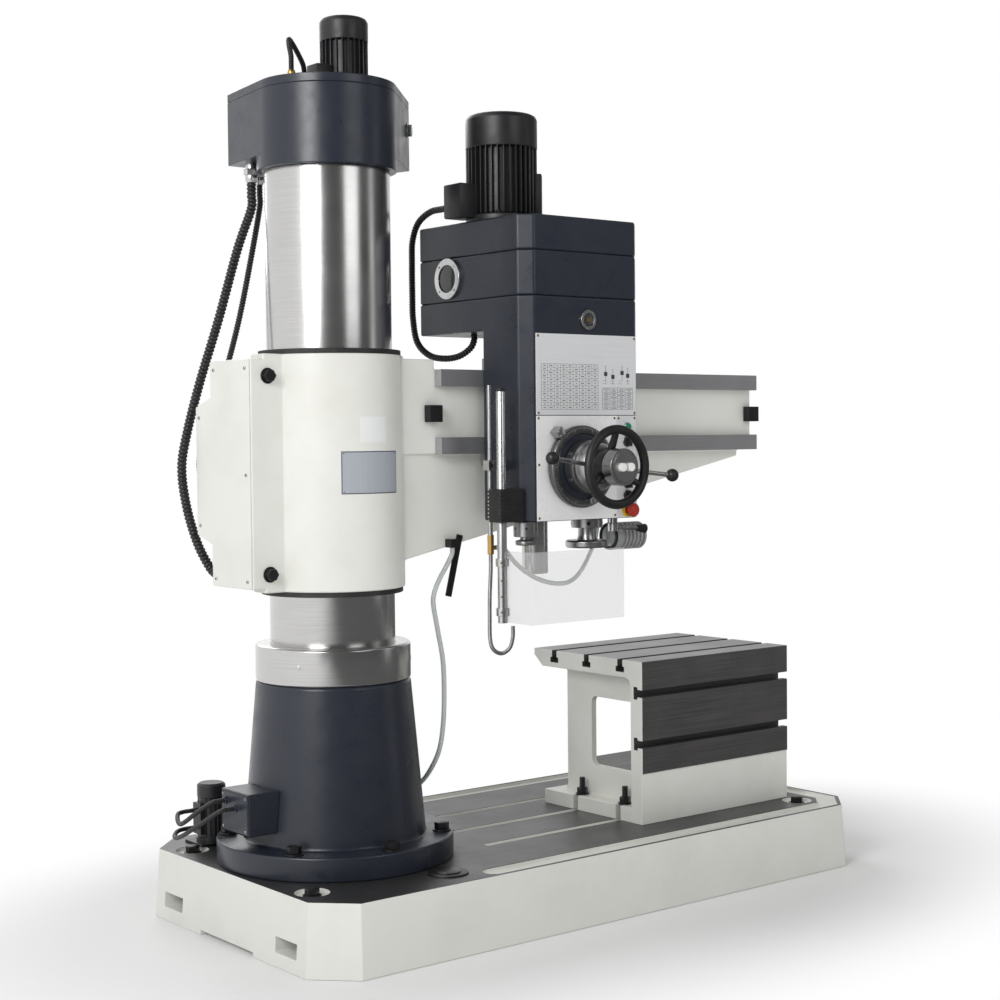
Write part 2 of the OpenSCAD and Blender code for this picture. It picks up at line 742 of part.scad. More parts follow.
module outer_column() {
    color(steel) translate([0, 0, column_low]) pipe(column_r, column_r - column_wall, column_top - column_low);
}

module clamp_collar() {
    color(steel) translate([0, 0, foot_top]) rotate_extrude() polygon([
        [column_r + running_gap, 0], [collar_r - 5, 0], [collar_r, 5],
        [collar_r, collar_h - 5], [collar_r - 5, collar_h], [column_r + running_gap, collar_h]]);
}

flare_lift = 38;

// The cap's outline made solid: a round front, flared sides and a round back
module cap_body(h) {
    middle = [screw_x, screw_y];
    cylinder(r = cap_r, h = h);
    translate(middle) cylinder(r = cap_back_r, h = h);
    linear_extrude(h) polygon([touch(cap_left, cap_r, 1), cap_left,
        middle + touch(cap_left - middle, cap_back_r, -1), middle + touch(cap_right - middle, cap_back_r, 1),
        cap_right, touch(cap_right, cap_r, -1)]);
}

module cap_housing() {
    color(paint_dark) translate([0, 0, column_top]) difference() {
        union() {
            cylinder(r = cap_r, h = cap_h);
            translate([0, 0, flare_lift]) cap_body(cap_h - flare_lift);
        }
        translate([screw_x, screw_y, flare_lift - 1]) cylinder(d = journal_d + 2 * running_gap, h = journal_len + 1);
    }
}

module cap_lid() {
    color(paint_dark) translate([0, 0, cap_top]) union() {
        cap_body(lid_h);
    }
}

// A finned motor standing on its flange
module finned_motor(d, h, flange, cowl, fins) {
    core = d * 0.84;
    fin_h = h - flange - cowl;
    cylinder(d = d * 1.02, h = flange);
    translate([0, 0, flange]) cylinder(d = core, h = fin_h);
    for (a = [0 : 360 / fins : 359]) rotate([0, 0, a]) translate([core / 2 - 2, -1.6, flange])
        cube([(d - core) / 2 + 1, 3.2, fin_h]);
    translate([0, 0, h - cowl]) rotate_extrude() polygon([[0, 0], [d / 2, 0], [d / 2, cowl - 14],
        [d / 2 - 5, cowl - 5], [d / 2 - 16, cowl], [0, cowl]]);
}

module lift_motor() {
    color(black) translate([screw_x, screw_y, lid_top]) {
        finned_motor(lift_motor_d, lift_motor_h, 18, 70, 24);
        translate([top_route[len(top_route) - 1][0] - screw_x, -28, 24])
            cube([screw_x - top_route[len(top_route) - 1][0] - lift_motor_d * 0.4, 56, 72]);
    }
}

module gland(d, h) {
    cylinder(d = d, h = h * 0.6);
    translate([0, 0, h * 0.3]) cylinder(d = d * 1.3, h = h * 0.3, $fn = 6);
    translate([0, 0, h * 0.6]) cylinder(d = d * 1.12, h = h * 0.4);
}

module cap_glands() {
    flat = unit(cap_right - touch(cap_right, cap_r, -1));
    plug = cap_right - 38 * flat;
    color(brass) {
        for (g = [[main_route[0], main_conduit_d], [cabinet_route[0], cabinet_conduit_d]])
            translate([g[0][0], g[0][1], column_top + flare_lift]) mirror([0, 0, 1])
                gland(g[1] + 6, column_top + flare_lift - g[0][2]);
        translate([top_route[0][0], top_route[0][1], lid_top]) gland(top_conduit_d + 5, top_route[0][2] - lid_top);
        translate([plug[0], plug[1], column_top + 150]) rotate([90, 0, atan2(flat[1], flat[0])])
            hex_head(30, 14);
    }
}

module lift_motor_conduit() {
    color(black) ribbed_tube(top_route, top_conduit_d, 20, [0, 1, 0], 1.2, 1.5, 16);
}

module main_conduit() {
    color(black) ribbed_tube(main_route, main_conduit_d, 80, [1, 0, 0], 2, 2, 26);
}

module cabinet_conduit() {
    color(black) ribbed_tube(cabinet_route, cabinet_conduit_d, 46, [1, 0, 0], 1.5, 1.5, 22);
}

module lift_screw() {
    color(steel) translate([screw_x, screw_y, 0]) {
        translate([0, 0, screw_low]) cylinder(d = screw_d, h = column_top + flare_lift - pass_gap - screw_low);
        translate([0, 0, column_top + flare_lift - pass_gap - 1]) cylinder(d = journal_d, h = journal_len - 5);
    }
}

// Arm

arm_root = 100;
way_start = 254;
root_rise = 28;
lug_front = -66;
cabinet_low = sleeve_low + 11;
cabinet_top = sleeve_top - 14;
cabinet_back = lug_front + cabinet_w;
bulge = 82;
bulge_low = sleeve_low + 127;
bulge_high = sleeve_top - 116;
web_inset = 10;
web_end = arm_reach - 52;

// The lower edge of the arm's web at a distance along the arm
function web_low(x) = ways_low - web_drop - 8 + (web_drop - 12) * (x - arm_root) / (web_end - arm_root);

// An outline in the arm's side view, made solid from y_low to y_high
module side_view(y_low, y_high, points) {
    translate([0, y_high, 0]) rotate([90, 0, 0]) linear_extrude(y_high - y_low) polygon(points);
}

// The cabinet's outline, seen along the arm
module cabinet_section(inset = 0) {
    polygon([[lug_front + inset, cabinet_low + inset], [cabinet_back - inset, cabinet_low + inset],
        [cabinet_back - inset, bulge_low], [cabinet_back + bulge - inset, bulge_low + 24],
        [cabinet_back + bulge - inset, bulge_high - 24], [cabinet_back - inset, bulge_high],
        [cabinet_back - inset, cabinet_top - inset], [lug_front + inset, cabinet_top - inset]]);
}

module arm_casting() {
    color(paint_white) difference() {
        union() {
            translate([0, 0, sleeve_low]) cylinder(d = sleeve_d, h = sleeve_h);
            block([-cabinet_reach + 40, lug_front, sleeve_low], [-100, 0, sleeve_top]);
            translate([-cabinet_reach, 0, 0]) rotate([90, 0, 90]) linear_extrude(cabinet_reach - 60) cabinet_section();
            side_view(way_back, arm_back, [[arm_root, ways_low], [arm_reach, ways_low], [arm_reach, ways_top],
                [way_start, ways_top], [way_start, ways_top + root_rise], [arm_root, ways_top + root_rise]]);
            side_view(way_back + web_inset, arm_back - 20, [[arm_root, ways_low - web_drop - 8],
                [web_end, ways_low - 20], [web_end, ways_low + 1], [arm_root, ways_low + 1]]);
            translate([screw_x, screw_y, ways_low]) cylinder(r = boss_r, h = ways_h + root_rise);
            block([screw_x - boss_r, 0, ways_low], [screw_x + boss_r, screw_y, ways_top + root_rise]);
        }
        translate([0, 0, sleeve_low - 1]) cylinder(r = column_r + running_gap, h = sleeve_h + 2);
        translate([screw_x, screw_y, ways_low - 1]) cylinder(d = screw_d + 6, h = ways_h + root_rise + 2);
        translate([screw_x, screw_y, ways_top + root_rise - nut_len]) cylinder(d = nut_body_d + 2 * pass_gap, h = nut_len + 1);
        // Casting relief on the back
        block([way_start + 60, arm_back - 60, ways_low + 44], [arm_reach - 60, arm_back + 1, ways_top - 44]);
    }
}

module sleeve_wipers() {
    color(black) for (z = [sleeve_low - wiper_h, sleeve_top]) translate([0, 0, z])
        pipe(sleeve_d / 2 - 6, column_r + pass_gap, wiper_h);
}

module arm_ways() {
    color(steel) for (z = [ways_low, ways_top - way_h])
        block([way_start, -way_front, z], [arm_reach, way_back, z + way_h]);
}

bar_x = way_start + 90;
stop_low = ways_low + 91;
stop_h = 48;
stop_w = 47;

module arm_fittings() {
    color(black) {
        // End stops of the head's travel
        for (x = [way_start - 38, arm_reach - 34]) soft_block([x, -way_front + 2, stop_low], [x + stop_w, way_back, stop_low + stop_h], 4);
        // Clamping bolts of the sleeve
        for (z = [sleeve_low + 51, sleeve_top - 60]) translate([-cabinet_reach + 53, lug_front, z]) rotate([90, 0, 0]) hex_head(30, 20);
        // Conduit glands on the cabinet
        for (g = [[main_route, main_conduit_d, cabinet_back], [cabinet_route, cabinet_conduit_d, cabinet_back + bulge]])
            let (last = g[0][len(g[0]) - 1])
                translate([last[0], g[2], last[2]]) rotate([-90, 0, 0]) gland(g[1] + 6, last[1] - g[2]);
        // Hose fitting and the flat bar under the arm
        let (last = hose_high_route[len(hose_high_route) - 1])
            block([last[0] - 14, last[1] - 14, last[2]], [last[0] + 14, way_back + web_inset, last[2] + 24]);
        translate([bar_x, way_back + web_inset, web_low(bar_x) + 24]) rotate([0, 14, 0])
            translate([-11, -4, -180]) cube([22, 4, 180]);
    }
}

module cabinet_cover() {
    color(paint_white) translate([-cabinet_reach - cover_t, 0, 0]) rotate([90, 0, 90])
        linear_extrude(cover_t) cabinet_section(2);
}

module lift_nut() {
    color(brass) translate([screw_x, screw_y, ways_top + root_rise]) difference() {
        union() {
            translate([0, 0, -nut_len + 2]) cylinder(d = nut_body_d, h = nut_len);
            cylinder(d = nut_flange_d, h = nut_flange_h);
        }
        translate([-screw_x, -screw_y, 0]) cylinder(d = sleeve_d + 2 * pass_gap, h = nut_flange_h + 1);
        translate([0, 0, -nut_len]) cylinder(d = screw_d + 2 * running_gap, h = nut_len + nut_flange_h + 1);
    }
}

module coolant_hose_upper() {
    color(clear) plain_tube(hose_high_route, hose_d, 14, [1, 0, 0]);
}

// Head

// The head's plan with chamfered front corners, back to a given depth
module head_plan(back) {
    polygon([[head_start, back], [head_start, head_front + head_chamfer], [head_start + head_chamfer, head_front],
        [head_end - head_chamfer, head_front], [head_end, head_front + head_chamfer], [head_end, back]]);
}

module head_case() {
    color(paint_dark) difference() {
        union() {
            translate([0, 0, head_low]) linear_extrude(overhang_z - head_low + 1) head_plan(head_rear);
            translate([0, 0, overhang_z]) linear_extrude(tier_low_h) head_plan(box_rear);
        }
        translate([spindle_x, spindle_y, head_low - 1]) cylinder(d = quill_d + 2 * running_gap, h = spindle_top + 12 - head_low);
        on_feed_axis(-hub_shaft_in - 2) cylinder(d = hub_shaft_d + 2 * running_gap, h = hub_shaft_in + 3);
        on_feed_axis(-hub_shaft_in - 42) cylinder(d = core_d + 2 * running_gap, h = 60);
        for (z = concat(selector_z, [start_z, stop_z]))
            on_panel(switch_x, z, -switch_hole_depth) cylinder(d = switch_d + 2 * running_gap, h = switch_hole_depth + 1);
        for (p = [[fine_x, fine_y, 30], [knob_x, knob_y, 20], [lever_x, lever_y, 24]])
            translate([p[0], p[1], head_low - 1]) cylinder(d = p[2] + 2 * running_gap, h = 51);
    }
}

module head_middle_case() {
    color(paint_dark) translate([0, 0, tier_low_top]) linear_extrude(tier_mid_h) head_plan(box_rear);
}

module head_top_cover() {
    color(paint_dark) translate([0, 0, tier_mid_top]) linear_extrude(tier_top_h) head_plan(box_rear);
}

module head_gibs() {
    color(steel) {
        block([head_start + 20, head_rear, ways_top + pass_gap], [head_end - 20, way_back - pass_gap, ways_top + 34]);
        block([head_start + 20, head_rear, ways_low - 34], [head_end - 20, way_back + web_inset - 2, ways_low - pass_gap]);
    }
}

sight_y = -way_front + 156;
sight_z = tier_low_top + 67;
sight_d = 119;
gauge_x = head_start + 229;
gauge_z = overhang_z + 28;
gauge_d = 57;

// A round window with its bezel, standing on z = 0
module round_window(d, t) {
    pipe(d / 2, d * 0.34, t);
    cylinder(r = d * 0.34 - 0.1, h = t * 0.5);
}

module sight_glasses() {
    color(silver) {
        translate([head_start, sight_y, sight_z]) rotate([0, -90, 0]) round_window(sight_d, 9);
        translate([gauge_x, head_front, gauge_z]) rotate([90, 0, 0]) round_window(gauge_d, 9);
    }
}

module front_panels() {
    x0 = head_start + head_chamfer + 1;
    x1 = head_end - head_chamfer - 1;
    color(silver) difference() {
        union() {
            block([x0, head_front - panel_t, head_low + 2], [x1, head_front, panel_split - 1]);
            block([x0, head_front - panel_t, panel_split + 1], [x1, head_front, panel_top]);
        }
        on_feed_axis(-1) cylinder(d = hub_shaft_d + 8, h = panel_t + 2);
        for (z = concat(selector_z, [start_z, stop_z]))
            on_panel(switch_x, z, -panel_t - 1) cylinder(d = switch_d + 2 * running_gap, h = panel_t + 2);
    }
}

module main_motor() {
    color(black) {
        translate([motor_x, motor_y, head_top]) finned_motor(motor_d, motor_h, motor_flange_h, motor_cowl_h, 36);
        // Terminal box with the conduit's gland
        block([motor_x - 160, motor_y - 10, head_top + 10], [motor_x - 88, motor_y + 70, head_top + 108]);
        translate([motor_route[0][0], motor_y + 70, motor_route[0][2]]) rotate([-90, 0, 0])
            gland(motor_conduit_d + 6, motor_route[0][1] - motor_y - 70);
        translate([motor_x, motor_y, head_top + 24]) rotate([0, 0, -42]) block([80, -22, 0], [118, 22, 118]);
    }
}

module motor_conduit() {
    color(black) ribbed_tube(motor_route, motor_conduit_d, 40, [1, 0, 0], 1.5, 1.5, 24);
}

button_gap = 15;
button_d = 24;

module feed_core() {
    color(steel) {
        difference() {
            union() {
                on_feed_axis(-hub_shaft_in - 40) cylinder(d = core_d, h = hub_shaft_in + 41 + boss_at);
                on_feed_axis(boss_at) cylinder(d = boss_d, h = boss_len);
                on_feed_axis(boss_at + 1) cylinder(d = boss_d - 18, h = boss_len + boss_plate - 1);
            }
            for (s = [-1, 1]) on_feed_axis(boss_at + boss_len - 20) translate([s * button_gap, 0, 0])
                cylinder(d = button_d + 2 * running_gap, h = 21 + boss_plate);
        }
        // Zero mark beside the depth dial
        on_feed_axis(panel_t) rotate([0, 0, 132]) translate([dial_d / 2 + 3, -13, 0]) cube([24, 26, 30]);
    }
}

clamp_z = head_low + 160;

module coolant_pipe() {
    color(silver) {
        translate([pipe_x, pipe_y, pipe_low]) cylinder(d = pipe_d, h = pipe_len);
        // Clamp on the head's side
        difference() {
            block([pipe_x - 14, pipe_y - 13, clamp_z - 14], [head_start, pipe_y + 13, clamp_z + 14]);
            translate([pipe_x, pipe_y, clamp_z - 20]) cylinder(d = pipe_d + 2 * pass_gap, h = 40);
        }
        // Valve with its side outlet
        translate([pipe_x, pipe_y, pipe_low - valve_h]) {
            cylinder(d = valve_d, h = valve_h, $fn = 6);
            translate([0, 0, 18]) rotate([0, 90, 0]) cylinder(d = 12, h = head_hose_route[0][0] - pipe_x);
        }
        // Hose barb under the head
        let (last = head_hose_route[len(head_hose_route) - 1])
            translate([last[0], last[1], last[2]]) cylinder(d = 16, h = head_low - last[2]);
    }
}

module gooseneck() {
    color(silver) plain_tube(neck_route, neck_d, 26, [0, 1, 0]);
}

module head_hose() {
    color(clear) plain_tube(head_hose_route, head_hose_d, 30, [0, 0, 1]);
}

module guard_block() {
    color(black) difference() {
        soft_block([post_x - 27, post_y - 28, block_low], [head_start, post_y + 28, block_low + block_h], 8);
        translate([post_x, post_y, block_low - 1]) cylinder(d = post_d + 2 * running_gap, h = block_h + 2);
    }
}

module work_lamp() {
    z = head_low - lamp_drop;
    color(silver) {
        translate([lamp_x, lamp_y, z]) rotate([0, 90, 0]) {
            cylinder(d = lamp_d - 14, h = lamp_len - 6);
            cylinder(d = lamp_d, h = 22);
            for (k = [0 : 5]) translate([0, 0, 34 + k * 15]) cylinder(d = lamp_d, h = 7);
        }
        block([head_end - 26, lamp_y - 16, z], [head_end - 18, lamp_y + 16, head_low]);
    }
}

// Spindle

module quill() {
    color(steel) translate([spindle_x, spindle_y, quill_low])
        pipe(quill_d / 2, spindle_body_d / 2 + running_gap, quill_len);
}

module spindle() {
    color(steel) translate([spindle_x, spindle_y, 0]) difference() {
        union() {
            translate([0, 0, nose_low]) cylinder(d1 = nose_d - 6, d2 = nose_d, h = 3);
            translate([0, 0, nose_low + 3]) cylinder(d = nose_d, h = quill_low - pass_gap - nose_low - 3);
            translate([0, 0, quill_low - pass_gap - 1]) cylinder(d = spindle_body_d, h = spindle_top - quill_low);
        }
        translate([0, 0, nose_low - 0.01]) cylinder(d1 = socket_d, d2 = socket_d - socket_depth / 19, h = socket_depth);
        translate([-nose_d, -7, nose_low + socket_depth - 34]) cube([2 * nose_d, 14, 44]);
    }
}

// Feed controls

module feed_hub() {
    color(steel) difference() {
        union() {
            on_feed_axis(-hub_shaft_in) cylinder(d = hub_shaft_d, h = hub_shaft_in + hub_at + 1);
            on_feed_axis(hub_at) rotate_extrude() polygon([[0, 0], [hub_d / 2, 0], [hub_d / 2, hub_len * 0.42],
                [hub_d / 2 - 8, hub_len * 0.47], [hub_d / 2 - 8, hub_len - 16], [hub_d / 2 - 20, hub_len], [0, hub_len]]);
        }
        on_feed_axis(-hub_shaft_in - 1) cylinder(d = core_d + 2 * running_gap, h = hub_shaft_in + hub_at + hub_len + 2);
        for (a = [0 : 60 : 300]) on_feed_axis(hub_at + 8) rotate([0, 0, a + 30]) translate([hub_d / 2 - 7, -4, 0]) cube([12, 8, 22]);
        for (a = [0, 180]) on_feed_axis(lever_at) rotate([0, 0, a + lever_tilt])
            rotate([0, 90 - lever_pitch, 0]) cylinder(d = lever_rod_d + 2 * running_gap, h = hub_d);
    }
}

lever_rod_d = 13;
lever_root = 44;
lever_pitch = atan(lever_out / (lever_reach - lever_root));

module depth_dial() {
    color(silver) on_feed_axis(dial_at) difference() {
        union() {
            rotate_extrude() polygon([[hub_shaft_d / 2 + running_gap, 0], [dial_d / 2 - 4, 0], [dial_d / 2, 4],
                [dial_d / 2, dial_t - 8], [dial_d / 2 - 14, dial_t], [hub_shaft_d / 2 + running_gap, dial_t]]);
            rotate([0, 0, -78]) translate([dial_d / 2 - 20, 0, dial_t - 1]) cylinder(d = 20, h = 18);
        }
    }
}

module feed_levers() {
    color(black) for (a = [0, 180]) on_feed_axis(lever_at) rotate([0, 0, a + lever_tilt]) rotate([0, 90 - lever_pitch, 0]) {
        translate([0, 0, lever_root]) cylinder(d = lever_rod_d, h = norm([lever_reach - lever_root, lever_out]));
        translate([0, 0, norm([lever_reach, lever_out])]) sphere(d = ball_d, $fn = 32);
    }
}

module handwheel() {
    rim_r = (wheel_d - rim_d) / 2;
    out = rim_r - 30;
    rise = wheel_at - spoke_at;
    color(black) difference() {
        union() {
            on_feed_axis(wheel_at) rotate_extrude() translate([rim_r, 0]) circle(d = rim_d);
            on_feed_axis(wheel_low) cylinder(d = wheel_hub_d, h = wheel_hub_len);
            for (a = [90, 210, 330]) on_feed_axis(spoke_at) rotate([0, 0, a]) translate([30, 0, 0])
                rotate([0, 90 - atan(rise / out), 0]) cylinder(d1 = 24, d2 = 18, h = norm([out, rise]));
        }
        on_feed_axis(wheel_low - 1) cylinder(d = core_d + 2 * running_gap, h = wheel_hub_len + 2);
    }
}

module fine_feed_wheel() {
    color(steel) translate([fine_x, fine_y, head_low]) {
        translate([0, 0, -50]) cylinder(d = 30, h = 95);
        translate([0, 0, -26]) cylinder(d = 92, h = 26 - pass_gap);
        translate([0, 0, -50]) cylinder(d = 52, h = 25);
        translate([0, 0, -84]) rotate_extrude() polygon([[0, 0], [fine_d / 2 - 4, 0], [fine_d / 2, 4],
            [fine_d / 2, 18], [fine_d / 2 - 4, 22], [30, 22], [26, 35], [0, 35]]);
    }
}

module depth_knob() {
    color(steel) translate([knob_x, knob_y, head_low]) {
        translate([0, 0, -50]) cylinder(d = 20, h = 95);
        translate([0, 0, -42]) cylinder(d = knob_d, h = 42 - pass_gap);
        translate([0, 0, -66]) rotate_extrude() polygon([[0, 0], [26, 0], [29, 3], [29, 11], [26, 14], [16, 16], [14, 26], [0, 26]]);
    }
}

module control_lever() {
    color(black) translate([lever_x, lever_y, head_low]) {
        translate([0, 0, -40]) cylinder(d = 24, h = 85);
        translate([0, 0, -40]) cylinder(d = 32, h = 24);
        translate([0, 0, -28]) rotate([0, 94, 0]) {
            cylinder(d = 12, h = 100);
            translate([0, 0, 96]) cylinder(d1 = 20, d2 = 28, h = 30);
        }
    }
}

module selector_at(z) {
    color(black) on_panel(switch_x, z, -switch_hole_depth + 1) {
        cylinder(d = switch_d, h = switch_hole_depth);
        translate([0, 0, switch_hole_depth - 1]) translate([0, 0, pass_gap]) cylinder(d = 29, h = 9);
        translate([-5, -14, switch_hole_depth + 6]) cube([10, 28, 12]);
    }
}

module selector_upper() selector_at(selector_z[0]);
module selector_middle() selector_at(selector_z[1]);
module selector_lower() selector_at(selector_z[2]);

module start_button() {
    color([0, 0.53, 0.37]) on_panel(switch_x, start_z, -switch_hole_depth + 10)
        cylinder(d = switch_d, h = switch_hole_depth + 2);
}

// A white button in the fixed drum, at a side of the feed axis
module boss_button(s) {
    color([0.92, 0.92, 0.90]) on_feed_axis(boss_at + boss_len - 14) translate([s * button_gap, 0, 0])
        cylinder(d = button_d, h = 14 + boss_plate + 12);
}

module clamp_button() boss_button(-1);
module release_button() boss_button(1);

module stop_button() {
    color([0.72, 0.17, 0.13]) on_panel(switch_x, stop_z, -switch_hole_depth + 10) {
        cylinder(d = switch_d, h = switch_hole_depth + 12);
        translate([0, 0, switch_hole_depth + 6]) rotate_extrude() polygon([[0, 0], [14, 0], [20, 8], [20, 14], [14, 20], [0, 22]]);
    }
}

// Guard

module guard_post() {
    color(silver) {
        translate([post_x, post_y, post_low]) cylinder(d = post_d, h = post_h);
        translate([post_x, post_y, post_low + post_h]) cylinder(d1 = post_d, d2 = post_d - 8, h = 10);
    }
}

clip_h = 22;

module guard_shield() {
    sheet_x = post_x + post_d / 2 + 1;
    corner_y = post_y - guard_out;
    color(clear) difference() {
        union() {
            block([sheet_x, corner_y, sheet_low], [sheet_x + sheet_t, post_y + 37, sheet_low + sheet_h]);
            block([sheet_x, corner_y, sheet_low], [post_x + guard_w, corner_y + sheet_t, sheet_low + sheet_h]);
            for (z = [sheet_low + 20, sheet_low + sheet_h - 20 - clip_h]) translate([post_x, post_y, z])
                cylinder(d = post_d + 10, h = clip_h);
        }
        translate([post_x, post_y, sheet_low - 1]) cylinder(d = post_d + 2 * running_gap, h = sheet_h + 2);
    }
}

base_plate();
column_base();
base_fittings();
inner_column();
column_bearings();
work_table();
coolant_pump();
junction_box();
pump_conduits();
coolant_hose_lower();
outer_column();
clamp_collar();
cap_housing();
cap_lid();
lift_motor();
cap_glands();
lift_motor_conduit();
main_conduit();
cabinet_conduit();
lift_screw();
arm_casting();
sleeve_wipers();
arm_ways();
arm_fittings();
cabinet_cover();
lift_nut();
coolant_hose_upper();
head_case();
head_middle_case();
head_top_cover();
head_gibs();
sight_glasses();
front_panels();
main_motor();
motor_conduit();
feed_core();
coolant_pipe();
gooseneck();
head_hose();
guard_block();
work_lamp();
quill();
spindle();
feed_hub();
depth_dial();
feed_levers();
handwheel();
fine_feed_wheel();
depth_knob();
control_lever();
selector_upper();
selector_middle();
selector_lower();
start_button();
clamp_button();
release_button();
stop_button();
guard_post();
guard_shield();
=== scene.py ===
# Radial arm drill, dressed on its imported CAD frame. All sizes are in metres.
import bpy
import bmesh
import json
import math
from mathutils import Matrix, Vector

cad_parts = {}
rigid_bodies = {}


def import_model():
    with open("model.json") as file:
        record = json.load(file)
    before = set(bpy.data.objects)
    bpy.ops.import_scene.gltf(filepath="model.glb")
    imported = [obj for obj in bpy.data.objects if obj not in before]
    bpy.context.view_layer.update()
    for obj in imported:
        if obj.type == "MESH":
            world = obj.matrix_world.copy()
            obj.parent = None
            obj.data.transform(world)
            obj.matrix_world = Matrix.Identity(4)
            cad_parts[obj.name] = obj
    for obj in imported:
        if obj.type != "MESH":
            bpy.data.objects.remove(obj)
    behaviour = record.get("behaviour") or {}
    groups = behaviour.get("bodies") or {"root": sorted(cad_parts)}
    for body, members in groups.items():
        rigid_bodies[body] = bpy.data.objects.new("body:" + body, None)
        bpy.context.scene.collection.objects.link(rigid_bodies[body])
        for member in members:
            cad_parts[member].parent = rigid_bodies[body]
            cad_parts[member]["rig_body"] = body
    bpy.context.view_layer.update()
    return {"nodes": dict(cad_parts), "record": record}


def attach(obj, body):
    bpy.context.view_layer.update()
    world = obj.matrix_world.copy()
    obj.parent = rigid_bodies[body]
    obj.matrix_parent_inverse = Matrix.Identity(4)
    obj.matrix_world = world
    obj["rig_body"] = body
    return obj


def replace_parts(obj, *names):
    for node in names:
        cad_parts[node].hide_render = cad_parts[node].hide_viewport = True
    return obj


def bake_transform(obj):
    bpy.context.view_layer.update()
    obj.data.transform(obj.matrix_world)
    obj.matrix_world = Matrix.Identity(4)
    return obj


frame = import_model()


# Studio.
# A pale floor under soft lamps, seen by a long lens at chest height from the
# column's end of the machine. Nothing here belongs to the drill itself.
scene = bpy.context.scene
scene.view_settings.view_transform = "Standard"

ahead = Vector((0.62397, 0.78067, -0.03499))
across = ahead.cross(Vector((0, 0, 1))).normalized()
upward = across.cross(ahead)
roll = -0.0097
frame_x = across * math.cos(roll) + upward * math.sin(roll)
frame_y = upward * math.cos(roll) - across * math.sin(roll)
camera = bpy.data.objects.new("camera", bpy.data.cameras.new("camera"))
scene.collection.objects.link(camera)
camera.matrix_world = Matrix((frame_x, frame_y, -ahead)).transposed().to_4x4()
camera.location = (-2.74683, -4.19559, 1.36730)
camera.data.lens = 64.01
camera.data.sensor_width = 36
camera.data.clip_end = 100
scene.camera = camera


def lamp(name, place, target, size, power):
    """A square soft box that looks at a point."""
    light = bpy.data.objects.new(name, bpy.data.lights.new(name, "AREA"))
    scene.collection.objects.link(light)
    light.data.size = size
    light.data.energy = power
    way = Vector(target) - Vector(place)
    light.matrix_world = Matrix.Translation(place) @ way.to_track_quat("-Z", "Y").to_matrix().to_4x4()


lamp("key_lamp", (-4.6, -2.4, 3.6), (0.2, 0, 1.2), 2.4, 165)
lamp("front_lamp", (1.0, -5.2, 3.4), (0.6, 0, 1.1), 2.4, 30)
lamp("back_lamp", (1.6, 4.6, 3.8), (0.4, 0, 1.2), 3.0, 80)

# The surround: white to the eye, a plain level for soft light, and for gloss a
# bright wall on the left, a dark room on the right and one narrow light strip
world = bpy.data.worlds.new("studio")
world.use_nodes = True
scene.world = world
room = world.node_tree
ray = room.nodes.new("ShaderNodeTexCoord").outputs["Generated"]


def facing(tree, ray, way):
    """How far a ray of the surround, or a place on the floor, lies along a way."""
    node = tree.nodes.new("ShaderNodeVectorMath")
    node.operation = "DOT_PRODUCT"
    node.inputs[1].default_value = way
    tree.links.new(ray, node.inputs[0])
    return node.outputs["Value"]


def joined(tree, operation, *values):
    """Values and plain numbers, joined by an operation."""
    node = tree.nodes.new("ShaderNodeMath")
    node.operation = operation
    for socket, value in zip(node.inputs, values):
        if isinstance(value, float):
            socket.default_value = value
        else:
            tree.links.new(value, socket)
    return node.outputs[0]


def remap(tree, value, low, high, new_low, new_high):
    """A value moved from one range to another."""
    node = tree.nodes.new("ShaderNodeMapRange")
    for label, number in (("From Min", low), ("From Max", high), ("To Min", new_low),
            ("To Max", new_high)):
        node.inputs[label].default_value = number
    tree.links.new(value, node.inputs["Value"])
    return node.outputs["Result"]


ramp = room.nodes.new("ShaderNodeValToRGB")
stops = [(0.0, 1.0), (0.35, 1.0), (0.41, 0.10), (1.0, 0.06)]
while len(ramp.color_ramp.elements) < len(stops):
    ramp.color_ramp.elements.new(0.5)
for stop, (place, level) in zip(ramp.color_ramp.elements, stops):
    stop.position = place
    stop.color = (level, level, level, 1)
left_to_right = joined(room, "MULTIPLY_ADD", facing(room, ray, across), 0.5, 0.5)
room.links.new(left_to_right, ramp.inputs["Fac"])
backdrop = joined(room, "MULTIPLY", joined(room, "SUBTRACT", facing(room, ray, ahead), 0.55), 2.2)
off_strip = joined(room, "ABSOLUTE", joined(room, "SUBTRACT", facing(room, ray, ahead), 0.05))
strip = joined(room, "SUBTRACT", 1.0, joined(room, "MULTIPLY", off_strip, 7.0))
strip = joined(room, "MULTIPLY", strip, joined(room, "GREATER_THAN", facing(room, ray, across), 0.5))
bright = joined(room, "MAXIMUM", ramp.outputs["Color"], joined(room, "MAXIMUM", backdrop, strip))
gloss = joined(room, "MINIMUM", bright, 1.0)
path = room.nodes.new("ShaderNodeLightPath")
seen = joined(room, "MAXIMUM", path.outputs["Is Camera Ray"], path.outputs["Is Transmission Ray"])
soft = joined(room, "SUBTRACT", 1.0, joined(room, "MAXIMUM", seen, path.outputs["Is Glossy Ray"]))
direct = joined(room, "MAXIMUM", seen, joined(room, "MULTIPLY", gloss, path.outputs["Is Glossy Ray"]))
soft_level = 0.42
strength = joined(room, "ADD", direct, joined(room, "MULTIPLY", soft, soft_level))
room.nodes["Background"].inputs["Color"].default_value = (1, 1, 1, 1)
room.links.new(strength, room.nodes["Background"].inputs["Strength"])

